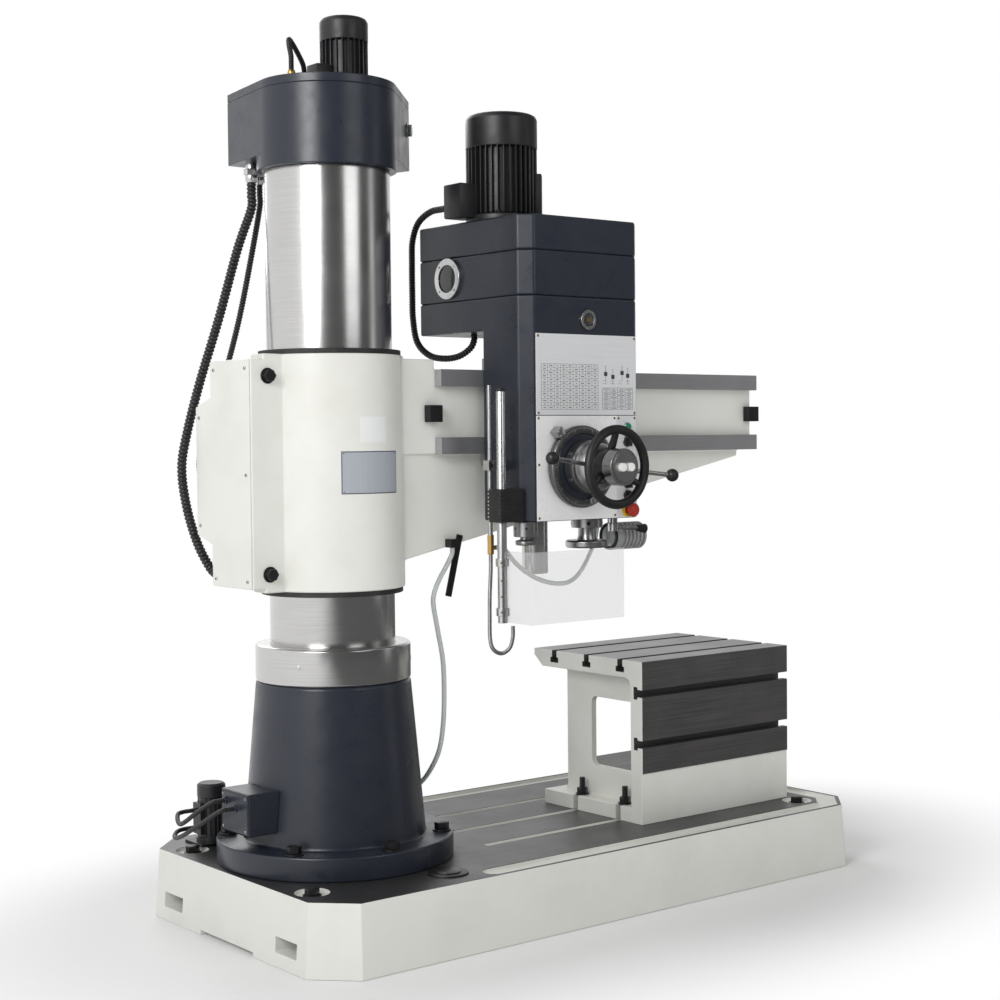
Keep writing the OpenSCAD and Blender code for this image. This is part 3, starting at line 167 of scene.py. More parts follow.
# The floor keeps the shadow round the machine and fades to plain white further out
floor_bm = bmesh.new()
bmesh.ops.create_circle(floor_bm, cap_ends=True, segments=96, radius=14)
floor_mesh = bpy.data.meshes.new("floor")
floor_bm.to_mesh(floor_mesh)
floor_bm.free()
floor = bpy.data.objects.new("floor", floor_mesh)
scene.collection.objects.link(floor)
floor.location.z = -0.0005
floor_finish = bpy.data.materials.new("pale_floor")
floor_finish.use_nodes = True
ground = floor_finish.node_tree
matt = ground.nodes["Principled BSDF"]
matt.inputs["Base Color"].default_value = (0.90, 0.90, 0.90, 1)
matt.inputs["Roughness"].default_value = 0.6
matt.inputs["Specular IOR Level"].default_value = 0.1
glow = ground.nodes.new("ShaderNodeEmission")
where = ground.nodes.new("ShaderNodeTexCoord").outputs["Object"]
middle = ground.nodes.new("ShaderNodeMapping")
middle.inputs["Location"].default_value = (-0.40, 0, 0)
middle.inputs["Scale"].default_value = (0.62, 1, 1)
far = ground.nodes.new("ShaderNodeVectorMath")
far.operation = "LENGTH"
fade = ground.nodes.new("ShaderNodeMapRange")
fade.interpolation_type = "SMOOTHSTEP"
fade.inputs["From Min"].default_value = 0.72
fade.inputs["From Max"].default_value = 1.40
ground.links.new(where, middle.inputs["Vector"])
ground.links.new(middle.outputs["Vector"], far.inputs[0])
ground.links.new(far.outputs["Value"], fade.inputs["Value"])
sideways = remap(ground, facing(ground, where, across), -0.9, 0.9, 0.0, 0.88)
mirrored = ground.nodes.new("ShaderNodeLightPath").outputs["Is Glossy Ray"]
dimmed = joined(ground, "MULTIPLY", mirrored, sideways)
ground.links.new(joined(ground, "SUBTRACT", 1.0, dimmed), glow.inputs["Strength"])
blend_in = ground.nodes.new("ShaderNodeMixShader")
ground.links.new(joined(ground, "MAXIMUM", fade.outputs["Result"], mirrored), blend_in.inputs["Fac"])
ground.links.new(matt.outputs["BSDF"], blend_in.inputs[1])
ground.links.new(glow.outputs["Emission"], blend_in.inputs[2])
ground.links.new(blend_in.outputs["Shader"], ground.nodes["Material Output"].inputs["Surface"])
floor.data.materials.append(floor_finish)


# Base plate.
# A long iron casting with leaning, off-white painted sides. Its top and rim are
# milled bare, and its slots and the coolant channel inside the rim are painted.
def group(name, inputs, outputs):
    """An empty shader group with its named sockets and its two end nodes."""
    tree = bpy.data.node_groups.new(name, "ShaderNodeTree")
    for side, sockets in (("INPUT", inputs), ("OUTPUT", outputs)):
        for label, kind in sockets:
            tree.interface.new_socket(name=label, in_out=side, socket_type="NodeSocket" + kind)
    return tree, tree.nodes.new("NodeGroupInput"), tree.nodes.new("NodeGroupOutput")


def noise(tree, vector, scale, detail, roughness=0.5):
    """A noise texture on a vector, and the socket with its value."""
    node = tree.nodes.new("ShaderNodeTexNoise")
    node.inputs["Scale"].default_value = scale
    node.inputs["Detail"].default_value = detail
    node.inputs["Roughness"].default_value = roughness
    tree.links.new(vector, node.inputs["Vector"])
    return node.outputs["Fac"]


def mixed(tree, fac, a, b):
    """One colour passing into another."""
    node = tree.nodes.new("ShaderNodeMix")
    node.data_type = "RGBA"
    tree.links.new(fac, node.inputs[0])
    tree.links.new(a, node.inputs[6])
    tree.links.new(b, node.inputs[7])
    return node.outputs[2]


coat_inputs = (("Vector", "Vector"), ("Colour", "Color"), ("Soil", "Color"), ("Gloss", "Float"))
skin_outputs = (("Colour", "Color"), ("Roughness", "Float"), ("Height", "Float"))

# Sprayed machine paint: orange peel, slow drifts of tone and a few dull patches
paint_skin, ends, out = group("paint_skin", coat_inputs, skin_outputs)
vector = ends.outputs["Vector"]
drift = remap(paint_skin, noise(paint_skin, vector, 3.2, 6, 0.62), 0.46, 0.74, 0.0, 0.55)
paint_skin.links.new(mixed(paint_skin, drift, ends.outputs["Colour"], ends.outputs["Soil"]),
    out.inputs["Colour"])
dull = remap(paint_skin, noise(paint_skin, vector, 17, 5, 0.6), 0.3, 0.7, -0.05, 0.09)
paint_skin.links.new(joined(paint_skin, "ADD", ends.outputs["Gloss"], dull), out.inputs["Roughness"])
paint_skin.links.new(joined(paint_skin, "ADD", noise(paint_skin, vector, 210, 2),
    noise(paint_skin, vector, 38, 2)), out.inputs["Height"])

# Milled, ground or turned metal: the mapping stretches the grain along the cut
grain_inputs = (("Vector", "Vector"), ("Place", "Vector"), ("Colour", "Color"), ("Shade", "Color"),
    ("Gloss", "Float"))
cut_grain, ends, out = group("cut_grain", grain_inputs, skin_outputs)
lines = noise(cut_grain, ends.outputs["Vector"], 1.0, 4, 0.65)
patch = noise(cut_grain, ends.outputs["Place"], 6.0, 5, 0.6)
tone = joined(cut_grain, "ADD", remap(cut_grain, lines, 0.3, 0.7, 0.0, 0.6),
    remap(cut_grain, patch, 0.4, 0.75, 0.0, 0.25))
cut_grain.links.new(mixed(cut_grain, tone, ends.outputs["Colour"], ends.outputs["Shade"]),
    out.inputs["Colour"])
cut_grain.links.new(joined(cut_grain, "ADD", ends.outputs["Gloss"],
    remap(cut_grain, patch, 0.3, 0.75, -0.03, 0.05)), out.inputs["Roughness"])
cut_grain.links.new(lines, out.inputs["Height"])

relief_depth = 0.0004


def surface(name, skin, colour, second, gloss, scale=(1, 1, 1), metallic=0.0, bump=0.15):
    """A material whose colour, roughness and bump come from one of the shared skins."""
    material = bpy.data.materials.new(name)
    material.use_nodes = True
    tree = material.node_tree
    shader = tree.nodes["Principled BSDF"]
    shader.inputs["Metallic"].default_value = metallic
    place = tree.nodes.new("ShaderNodeTexCoord")
    stretch = tree.nodes.new("ShaderNodeMapping")
    stretch.inputs["Scale"].default_value = scale
    grain = tree.nodes.new("ShaderNodeGroup")
    grain.node_tree = skin
    grain.inputs["Colour"].default_value = (*colour, 1)
    for label in ("Soil", "Shade"):
        if label in grain.inputs:
            grain.inputs[label].default_value = (*second, 1)
    grain.inputs["Gloss"].default_value = gloss
    relief = tree.nodes.new("ShaderNodeBump")
    relief.inputs["Strength"].default_value = bump
    relief.inputs["Distance"].default_value = relief_depth
    tree.links.new(place.outputs["Object"], stretch.inputs["Vector"])
    tree.links.new(stretch.outputs["Vector"], grain.inputs["Vector"])
    if "Place" in grain.inputs:
        tree.links.new(place.outputs["Object"], grain.inputs["Place"])
    tree.links.new(grain.outputs["Colour"], shader.inputs["Base Color"])
    tree.links.new(grain.outputs["Roughness"], shader.inputs["Roughness"])
    tree.links.new(grain.outputs["Height"], relief.inputs["Height"])
    tree.links.new(relief.outputs["Normal"], shader.inputs["Normal"])
    return material


white_paint = surface("white_paint", paint_skin, (0.77, 0.775, 0.73), (0.66, 0.65, 0.59), 0.34,
    bump=0.10)
milled_iron = surface("milled_iron", cut_grain, (0.15, 0.15, 0.152), (0.06, 0.06, 0.062), 0.42,
    (4, 420, 420), 0.85, 0.2)

corner_angle = math.radians(38)


def put(name, bm, body, slot, *finishes):
    """A finished piece from its bmesh, smooth except at its corners, riding on a body."""
    for face in bm.faces:
        face.smooth = True
    for edge in bm.edges:
        edge.smooth = len(edge.link_faces) != 2 or edge.calc_face_angle() < corner_angle
    mesh = bpy.data.meshes.new(name)
    bm.to_mesh(mesh)
    bm.free()
    piece = bpy.data.objects.new(name, mesh)
    scene.collection.objects.link(piece)
    for finish in finishes:
        mesh.materials.append(finish)
    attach(piece, body)
    return piece


def dressed(name, node, edge, *finishes, choose=None, segments=2):
    """A CAD node's own solid, its triangles merged and its corners eased, standing for the node."""
    source = frame["nodes"][node]
    bm = bmesh.new()
    bm.from_mesh(source.data)
    bmesh.ops.remove_doubles(bm, verts=bm.verts, dist=0.00002)
    bmesh.ops.dissolve_limit(bm, angle_limit=math.radians(0.8), verts=bm.verts, edges=bm.edges)
    for face in bm.faces:
        face.material_index = choose(face.calc_center_median(), face.normal) if choose else 0
    body = source["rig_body"]
    row = next(r for r in frame["record"]["subparts"] if r["node"] == node)
    piece = put(name, bm, body, row["material_slot"], *finishes)
    if "custom_normal" in piece.data.attributes:
        piece.data.attributes.remove(piece.data.attributes["custom_normal"])
    ease = piece.modifiers.new("eased_corners", "BEVEL")
    ease.width = edge
    ease.segments = segments
    ease.limit_method = "ANGLE"
    ease.angle_limit = corner_angle
    ease.use_clamp_overlap = False
    ease.harden_normals = True
    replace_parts(piece, node)


base_top = 0.195
slot_lines = (-0.190, 0.008, 0.206)
slot_start, slot_floor = 0.388, 0.15


def base_finish(centre, normal):
    """The top is milled; the slots and the rest are painted."""
    on_line = any(abs(centre.y - y) < 0.02 for y in slot_lines)
    in_slot = on_line and centre.x > slot_start and centre.z > slot_floor
    on_top = normal.z > 0.9 and centre.z > base_top - 0.001
    return 1 if on_top and not in_slot else 0


dressed("base_casting", "base_plate", 0.003, white_paint, milled_iron, choose=base_finish)


# Bolts of the base.
# Blackened hexagon bolts on washers: six through the column's flange, four jack
# screws in spot-faced seats, and four studs with nuts that hold the table down.
black_steel = surface("black_steel", paint_skin, (0.018, 0.018, 0.020), (0.045, 0.043, 0.042), 0.36,
    metallic=0.5)


def given(bm, known, part):
    """The faces that are not known yet, each given one of the piece's finishes."""
    made = [face for face in bm.faces if face not in known]
    for face in made:
        face.material_index = part
    return made


def rod(bm, a, b, radius, end_radius=None, segments=32, edge=0.0, part=0):
    """A round or many-sided bar from a point to a point, with its rims chamfered."""
    a, b = Vector(a), Vector(b)
    turn = (b - a).to_track_quat("Z", "Y").to_matrix().to_4x4()
    known = set(bm.faces)
    bmesh.ops.create_cone(bm, cap_ends=True, segments=segments, radius1=radius, radius2=radius
        if end_radius is None else end_radius, depth=(b - a).length,
        matrix=Matrix.Translation((a + b) / 2) @ turn)
    if edge:
        caps = [f for f in given(bm, known, part) if len(f.verts) == segments]
        rims = {e for f in caps for e in f.edges}
        bmesh.ops.bevel(bm, geom=list(rims), offset=edge, segments=2, profile=0.5, affect="EDGES",
            material=-1)
    given(bm, known, part)


def block(bm, low, high, edge=0.001, part=0, turn=Matrix()):
    """A box between two corners with its edges eased, then turned into its place."""
    low, high = Vector(low), Vector(high)
    known = set(bm.faces)
    made = bmesh.ops.create_cube(bm, size=1,
        matrix=turn @ Matrix.Translation((low + high) / 2) @ Matrix.Diagonal((*(high - low), 1)))
    if edge:
        edges = {e for v in made["verts"] for e in v.link_edges}
        bmesh.ops.bevel(bm, geom=list(edges), offset=edge, segments=2, profile=0.5, affect="EDGES",
            material=-1)
    given(bm, known, part)


def hexagon(bm, place, way, across, height, part=0, washer=True):
    """A hexagon head on its washer, standing on a point."""
    place, way = Vector(place), Vector(way).normalized()
    if washer:
        rod(bm, place, place + way * height * 0.18, across * 0.72, segments=32, edge=height * 0.04,
            part=part)
    rod(bm, place + way * height * 0.1, place + way * height, across / math.sqrt(3), segments=6,
        edge=height * 0.08, part=part)
    rod(bm, place + way * height * 0.5, place + way * height * 1.02, across * 0.42, segments=24,
        edge=height * 0.06, part=part)


def polar(radius, degrees, z):
    """A point round the column's axis."""
    return Vector((radius * math.cos(math.radians(degrees)), radius * math.sin(math.radians(degrees)),
        z))


up = Vector((0, 0, 1))
flange_top, bolt_circle = 0.261, 0.300
jack_seat = 0.185
stud_low, stud_top, thread_low, thread_pitch = 0.158, 0.294, 0.2625, 0.00125
bm = bmesh.new()
for degrees in (39, 93, 145):
    for side in (-1, 1):
        hexagon(bm, polar(bolt_circle, side * degrees, flange_top), up, 0.036, 0.024)
for x, y in ((-0.282, 0.316), (1.534, 0.352)):
    for side in (-1, 1):
        hexagon(bm, (x, side * y, jack_seat), up, 0.034, 0.022)
        rod(bm, (x, side * y, 0.10), (x, side * y, jack_seat + 0.002), 0.0165)
for x in (0.935, 1.516):
    for y in slot_lines[:2]:
        rod(bm, (x, y, stud_low), (x, y, stud_top), 0.009, edge=0.001)
        for k in range(24):
            z = thread_low + k * thread_pitch
            rod(bm, (x, y, z), (x, y, z + 0.0007), 0.0094, 0.0088, segments=24)
        block(bm, (x - 0.014, y - 0.0175, 0.1575), (x + 0.014, y + 0.0175, 0.172), 0.001)
        hexagon(bm, (x, y, 0.240), up, 0.030, 0.022)
# Round cover over the sump, with its lifting knob
sump = (0.107, -0.384)
rod(bm, (*sump, 0.189), (*sump, 0.199), 0.056, segments=64, edge=0.002)
rod(bm, (*sump, 0.198), (*sump, 0.202), 0.036, segments=48, edge=0.0015)
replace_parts(put("base_bolts", bm, "base", "black_metal", black_steel), "base_fittings")


# Column foot.
# A turned iron foot bolted to the base by its flange and painted anthracite.
# It holds the fixed inner column, on whose bearings the outer column turns.
dark_paint = surface("dark_paint", paint_skin, (0.019, 0.023, 0.035), (0.024, 0.028, 0.040), 0.30,
    bump=0.04)
ground_steel = surface("ground_steel", cut_grain, (0.62, 0.615, 0.61), (0.52, 0.515, 0.51), 0.22,
    (5, 5, 520), 1.0, 0.015)


def eased(outline, radius):
    """An outline with its inner corners rounded."""
    steps = 3
    outline = [Vector(p) for p in outline]
    points = [outline[0]]
    for before, corner, after in zip(outline, outline[1:], outline[2:]):
        reach = min(radius, (before - corner).length * 0.45, (after - corner).length * 0.45)
        a = corner + (before - corner).normalized() * reach
        b = corner + (after - corner).normalized() * reach
        for k in range(steps + 1):
            t = k / steps
            points.append(a * (1 - t) ** 2 + corner * 2 * t * (1 - t) + b * t ** 2)
    return points + [outline[-1]]


def turned(bm, outline, centre=(0, 0, 0), axis=(0, 0, 1), steps=96, part=0, edge=0.002):
    """A half outline of radius and height, spun round an axis as on a lathe."""
    axis = Vector(axis)
    side = axis.orthogonal().normalized()
    known = set(bm.faces)
    verts = [bm.verts.new(Vector(centre) + side * r + axis * h) for r, h in eased(outline, edge)]
    edges = [bm.edges.new(pair) for pair in zip(verts, verts[1:])]
    bmesh.ops.spin(bm, geom=verts + edges, cent=centre, axis=axis, angle=math.tau, steps=steps,
        use_merge=True)
    made = given(bm, known, part)
    bmesh.ops.remove_doubles(bm, verts=list({v for f in made for v in f.verts}), dist=0.000005)
    bmesh.ops.recalc_face_normals(bm, faces=given(bm, known, part))


foot_top, flange_radius = 0.696, 0.333
foot_outside = [(0.215, base_top), (flange_radius, base_top), (flange_radius, flange_top),
    (0.258, flange_top), (0.255, 0.269), (0.2175, 0.691), (0.2125, foot_top)]
foot_inside = [(0.181, foot_top), (0.181, 0.640), (0.1255, 0.640), (0.1255, 0.560), (0.1755, 0.530),
    (0.215, flange_top), (0.215, base_top)]
bm = bmesh.new()
turned(bm, foot_outside + foot_inside, steps=128, edge=0.006)
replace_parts(put("column_foot", bm, "base", "dark_paint", dark_paint), "column_base")
for node in ("inner_column", "column_bearings"):
    frame["nodes"][node].data.materials.clear()
    frame["nodes"][node].data.materials.append(ground_steel)


# Clamping collar and column.
# The collar is a turned steel ring on the foot that locks the column. The
# column is a ground and oiled steel tube, 350 mm across.
collar_top, collar_bore, collar_screws = 0.799, 0.17505, 0.748
bm = bmesh.new()
turned(bm, [(collar_bore, foot_top), (0.2125, foot_top), (0.2175, 0.701), (0.2175, 0.794),
    (0.2125, collar_top), (collar_bore, collar_top), (collar_bore, foot_top)], steps=128, edge=0.002)
for degrees in (-150, -30, 90):
    rod(bm, polar(0.2165, degrees, collar_screws), polar(0.2185, degrees, collar_screws), 0.009,
        segments=24, edge=0.0006)
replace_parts(put("lock_collar", bm, "base", "machined_steel", ground_steel), "clamp_collar")

column_low, column_top, column_bore, column_radius = 0.700, 2.112, 0.145, 0.175
bm = bmesh.new()
turned(bm, [(column_bore, column_low), (column_radius, column_low), (column_radius, column_top),
    (column_bore, column_top), (column_bore, column_low)], steps=128, edge=0.002)
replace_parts(put("ground_column", bm, "column", "machined_steel", ground_steel), "outer_column")


# Box table.
# An iron box casting, milled on its top and near side with T-slots in both and painted elsewhere. Its
# top takes a lighter copy of the milled finish as a painted reflection, and the hollow's floor takes the
# dark milled finish as painted shade. Its ends are set back behind the near wall.
table_top, hollow_floor, near_side = 0.689, 0.329, -0.302
top_slots, side_slots, slot_half = (-0.203, -0.049, 0.105), (0.592, 0.438), 0.0195


def table_finish(centre, normal):
    """The near side above its foot and every slot are milled; the top takes a lighter milled copy as
    painted reflection, and the hollow's floor the dark milled finish as painted shade.
    """
    on_top = normal.z > 0.9 and centre.z > table_top - 0.001
    # The hollow's floor is painted shade: it gets the dark milled finish so that the inside looks dark
    # through the windows.
    shaded_floor = normal.z > 0.9 and abs(centre.z - hollow_floor) < 0.003
    on_side = normal.y < -0.9 and centre.y < near_side + 0.0005
    in_top = centre.z > table_top - 0.041 and any(abs(centre.y - y) < slot_half for y in top_slots)
    in_side = centre.y < near_side + 0.040 and any(abs(centre.z - z) < slot_half for z in side_slots)
    on_end = abs(normal.x) > 0.9 and centre.z > table_top - 0.049
    if on_top:
        return 2
    return 1 if shaded_floor or on_side or in_top or in_side or on_end else 0


milled_side = surface("milled_side", cut_grain, (0.15, 0.145, 0.143), (0.062, 0.060, 0.060), 0.46,
    (3, 60, 160), 0.55, 0.2)
# A lighter copy of the milled iron for the table's top: a painted reflection, standing in for the bright
# room that the top mirrors.
lit_milled_top = surface("lit_milled_top", cut_grain, (0.34, 0.34, 0.34), (0.20, 0.20, 0.20), 0.40,
    (4, 420, 420), 0.80, 0.15)
dressed("box_table", "work_table", 0.0015, white_paint, milled_side, lit_milled_top, choose=table_finish)


# Coolant pump and junction box.
# A small black motor pump stands behind the column on the base. The junction
# box on the foot feeds it, and is a painted sheet box with a screwed lid.
black_paint = surface("black_paint", paint_skin, (0.014, 0.014, 0.016), (0.026, 0.026, 0.028), 0.38,
    bump=0.2)
dressed("coolant_pump_motor", "coolant_pump", 0.0012, black_paint)
dressed("junction_box_case", "junction_box", 0.003, dark_paint)
left = Vector((-1, 0, 0))
bright_steel = surface("bright_steel", cut_grain, (0.66, 0.66, 0.665), (0.48, 0.48, 0.485), 0.26,
    (60, 60, 60), 1.0, 0.05)


def cross_screw(bm, place, way, radius, part=0):
    """A low domed screw with a cross cut in it."""
    place, way = Vector(place), Vector(way).normalized()
    rod(bm, place - way * radius * 0.2, place + way * radius * 0.4, radius, radius * 0.8, segments=20,
        edge=radius * 0.12, part=part)
    turn = Matrix.Translation(place + way * radius * 0.4) @ way.to_track_quat("Z",
        "Y").to_matrix().to_4x4()
    for wide, high in ((radius * 0.6, radius * 0.14), (radius * 0.14, radius * 0.6)):
        block(bm, (-wide, -high, -0.0002), (wide, high, 0.0003), 0, part=part + 1, turn=turn)


bm = bmesh.new()
for y in (-0.064, 0.053):
    for z in (0.316, 0.404):
        cross_screw(bm, (-0.330, y, z), left, 0.0042)
put("junction_box_screws", bm, "base", "bright_metal", bright_steel, black_steel)


# Pump conduits.
# Two slim corrugated plastic conduits run from the junction box round the back
# of the foot to the pump. Each is open to view from gland to gland.
moulded, ends, out = group("moulded", coat_inputs, skin_outputs)
speckle = noise(moulded, ends.outputs["Vector"], 700, 2)
cloud = noise(moulded, ends.outputs["Vector"], 24, 4, 0.6)
moulded.links.new(mixed(moulded, remap(moulded, cloud, 0.4, 0.75, 0.0, 0.7), ends.outputs["Colour"],
    ends.outputs["Soil"]), out.inputs["Colour"])
moulded.links.new(joined(moulded, "ADD", ends.outputs["Gloss"],
    remap(moulded, cloud, 0.3, 0.7, -0.06, 0.08)), out.inputs["Roughness"])
moulded.links.new(speckle, out.inputs["Height"])
black_plastic = surface("black_plastic", moulded, (0.012, 0.012, 0.013), (0.022, 0.022, 0.023), 0.40,
    bump=0.08)


def even_route(points, count):
    """A smooth line through chosen points in millimetres, as evenly spaced points in metres."""
    chosen = [Vector(p) / 1000 for p in points]
    chosen = [chosen[0] * 2 - chosen[1]] + chosen + [chosen[-1] * 2 - chosen[-2]]
    fine = []
    for a, b, c, d in zip(chosen, chosen[1:], chosen[2:], chosen[3:]):
        for k in range(12):
            t = k / 12
            bend, twist = a * 2 - b * 5 + c * 4 - d, b * 3 - a - c * 3 + d
            fine.append((b * 2 + (c - a) * t + bend * t * t + twist * t ** 3) / 2)
    fine.append(chosen[-2])
    reach = [0]
    for p, q in zip(fine, fine[1:]):
        reach.append(reach[-1] + (q - p).length)
    even, i = [], 0
    for k in range(count):
        goal = reach[-1] * k / (count - 1)
        while i < len(reach) - 2 and reach[i + 1] < goal:
            i += 1
        even.append(fine[i].lerp(fine[i + 1], (goal - reach[i]) / (reach[i + 1] - reach[i])))
    return even


def tube(bm, path, radii, sides=14):
    """Rings along a path, each bridged to the last, with closed ends."""
    last = None
    side = (path[1] - path[0]).orthogonal()
    for i, point in enumerate(path):
        way = (path[min(i + 1, len(path) - 1)] - path[max(i - 1, 0)]).normalized()
        side = (side - way * side.dot(way)).normalized()
        turn = Matrix((side, way.cross(side), way)).transposed().to_4x4()
        made = bmesh.ops.create_circle(bm, cap_ends=i in (0, len(path) - 1), segments=sides,
            radius=radii[i % len(radii)], matrix=Matrix.Translation(point) @ turn)
        loop = list({e for v in made["verts"] for e in v.link_edges})
        if last:
            bmesh.ops.bridge_loops(bm, edges=last + loop)
        last = loop
    bmesh.ops.recalc_face_normals(bm, faces=bm.faces)


def cord(name, node, points, diameter, ribs, depth, slot, finish, body, other=None,
        sides=14):
    """A hose or conduit along its route, corrugated where it has ribs."""
    path = even_route(points, 4 * ribs + 1 if depth else ribs + 1)
    bm = bmesh.new()
    r = diameter / 2
    tube(bm, path, (r - depth, r - depth * 0.1, r, r - depth * 0.1) if depth else (r,), sides)
    piece = put(name, bm, body, slot, finish)
    if other:
        piece.parent = None
        del piece["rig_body"]
        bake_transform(piece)
    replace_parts(piece, node)


cord("pump_conduit_upper", "pump_conduits", [(-339, 34, 388), (-358, 34, 388), (-376, 40, 384),
    (-396, 80, 356), (-398, 140, 322), (-378, 210, 300), (-350, 276, 297), (-318, 332, 300),
    (-292, 349, 300), (-270, 349, 300), (-249, 349, 300)], 0.013, 90, 0.001, "black_plastic",
    black_plastic, "base")
cord("pump_conduit_lower", "pump_conduits", [(-339, -20, 374), (-358, -20, 374), (-380, -14, 370),
    (-412, 40, 330), (-416, 120, 290), (-392, 206, 264), (-358, 280, 252), (-320, 334, 250),
    (-292, 349, 250), (-270, 349, 250), (-249, 349, 250)], 0.013, 96, 0.001, "black_plastic",
    black_plastic, "base")


# Coolant hose.
# A clear plastic hose climbs from the pump round the foot and up beside the
# column to the arm. It is one hose, held halfway where the column's turn ends.
def clear_finish(name, tint, roughness, weight, alpha):
    """Clear plastic: mostly passes light, with a little body of its own."""
    material = surface(name, moulded, tint, tuple(c * 0.9 for c in tint), roughness, bump=0.04)
    shader = material.node_tree.nodes["Principled BSDF"]
    shader.inputs["Transmission Weight"].default_value = weight
    shader.inputs["Alpha"].default_value = alpha
    shader.inputs["IOR"].default_value = 1.45
    return material


hose_plastic = clear_finish("hose_plastic", (0.62, 0.65, 0.64), 0.22, 0.45, 1.0)
cord("coolant_hose_base_run", "coolant_hose_lower", [(-128, 349, 300), (-108, 349, 300), (-92, 342, 298),
    (-78, 318, 292), (-66, 288, 284), (-44, 266, 278), (0, 266, 275), (100, 248, 274), (190, 188, 276),
    (240, 116, 292), (264, 40, 324), (274, -30, 366), (262, -100, 418), (264, -140, 480),
    (272, -150, 560), (276, -150, 660), (272, -150, 740), (258, -150, 810), (250, -150, 850)], 0.014,
    150, 0, "clear_plastic", hose_plastic, "base", "column")
cord("coolant_hose_arm_run", "coolant_hose_upper", [(250, -150, 850), (242, -150, 890), (242, -150, 920),
    (258, -151, 960), (290, -154, 1010), (304, -156, 1036), (306, -156, 1046), (306, -156, 1056)], 0.014,
    40, 0, "clear_plastic", hose_plastic, "column", "arm")


# Column cap.
# The cap houses the lift gears on top of the column: a cast housing with flared
# flats, under a lid with the same outline. Both are painted anthracite.
dressed("cap_gear_housing", "cap_housing", 0.0022, dark_paint, segments=3)
dressed("cap_cover", "cap_lid", 0.0025, dark_paint, segments=3)

# Glands and a plug in the cap: the hanging ones and the plug are plated, the top one is brass
brass = surface("brass", cut_grain, (0.55, 0.36, 0.13), (0.40, 0.25, 0.08), 0.30, (90, 90, 90), 1.0,
    0.06)


def gland(bm, place, way, diameter, height, part=0):
    """A cable gland: body, hexagon, and a domed nut that grips the conduit."""
    place, way = Vector(place), Vector(way).normalized()
    r = diameter / 2
    rod(bm, place - way * 0.002, place + way * height * 0.4, r, segments=32, part=part)
    rod(bm, place + way * height * 0.28, place + way * height * 0.6, r * 1.3, segments=6, edge=r * 0.06,
        part=part)
    turned(bm, [(0, height * 0.6), (r * 1.12, height * 0.6), (r * 1.12, height * 0.8), (r * 0.9, height),
        (0, height)], place, way, 32, part, r * 0.15)


bm = bmesh.new()
gland(bm, (-0.125, 0.200, 2.150), -up, 0.033, 0.054, 1)
gland(bm, (-0.085, 0.222, 2.150), -up, 0.024, 0.054, 1)
gland(bm, (-0.100, 0.020, 2.352), up, 0.020, 0.036)
hexagon(bm, (0.29976, 0.03152, 2.262), (0.7231, -0.6906, 0), 0.030, 0.014, part=1)
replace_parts(put("cap_gland_set", bm, "column", "brass", brass, bright_steel), "cap_glands")

cord("lift_motor_loop", "lift_motor_conduit", [(-100, 20, 2388), (-100, 20, 2408), (-100, 21, 2428),
    (-98, 34, 2462), (-78, 62, 2480), (-40, 90, 2462), (0, 118, 2432), (24, 146, 2412), (40, 158, 2410),
    (62, 160, 2410)], 0.015, 64, 0.0012, "black_plastic", black_plastic, "column")

# Two conduits hang from the cap to the switch cabinet, with slack for the arm's rise
cord("main_conduit_run", "main_conduit", [(-125, 200, 2096), (-125, 200, 2060), (-127, 201, 2020),
    (-166, 212, 1908), (-222, 228, 1707), (-274, 248, 1529), (-310, 262, 1383), (-324, 267, 1288),
    (-312, 264, 1181), (-284, 258, 1080), (-258, 238, 1012), (-250, 215, 992), (-250, 190, 988),
    (-250, 160, 988)], 0.027, 110, 0.003, "black_plastic", black_plastic, "column", "arm", sides=18)
cord("cabinet_conduit_run", "cabinet_conduit", [(-85, 222, 2096), (-85, 222, 2066), (-86, 222, 2030),
    (-110, 228, 1900), (-146, 240, 1720), (-178, 264, 1570), (-206, 298, 1440), (-224, 320, 1370),
    (-234, 328, 1310), (-239, 309, 1258), (-240, 266, 1236), (-240, 240, 1236)], 0.018, 112, 0.0022,
    "black_plastic", black_plastic, "column", "arm")


# Lift motor and screw.
# A finned, black flange motor stands on the cap over the lift screw and turns it.
# The screw is a long steel bar with a rolled thread, in a bronze nut on the arm.
screw_axis = Vector((0.172642, 0.166718, 0))


def finned_motor(bm, foot, radius, height, flange, cowl, fins, fin_t):
    """A motor on its flange: core, upright fins, fan cowl and its screws."""
    foot = Vector(foot)
    core = radius * 0.84
    turned(bm, [(0, 0), (radius * 1.02, 0), (radius * 1.02, flange), (core * 0.98, flange + 0.004),
        (core, flange + 0.008), (core, height - cowl), (0, height - cowl)], foot, edge=0.003)
    for k in range(fins):
        block(bm, (core - 0.004, -fin_t / 2, flange + 0.004),
            (radius - 0.001, fin_t / 2, height - cowl + 0.002), fin_t * 0.28,
            turn=Matrix.Translation(foot) @ Matrix.Rotation(math.tau * (k + 0.5) / fins, 4, "Z"))
    turned(bm, [(0, height - cowl), (radius, height - cowl), (radius, height - 0.014),
        (radius - 0.005, height - 0.005), (radius - 0.016, height), (0, height)], foot, edge=0.003)
    for k in range(4):
        way = Matrix.Rotation(math.tau * (k + 0.5) / 4, 3, "Z") @ Vector((1, 0, 0))
        hexagon(bm, foot + way * radius * 0.93 + up * flange, up, 0.012, 0.009, washer=False)
        spot = foot + way * radius + up * (height - cowl + 0.012)
        rod(bm, spot - way * 0.002, spot, 0.005, segments=16)


bm = bmesh.new()
finned_motor(bm, screw_axis + up * 2.352, 0.071, 0.240, 0.018, 0.070, 24, 0.0034)
block(bm, (0.062, 0.1387, 2.376), (0.118, 0.1947, 2.448), 0.003)
block(bm, (0.0612, 0.1407, 2.378), (0.0632, 0.1927, 2.446), 0.0008)
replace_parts(put("lift_motor_case", bm, "column", "black_metal", black_paint), "lift_motor")

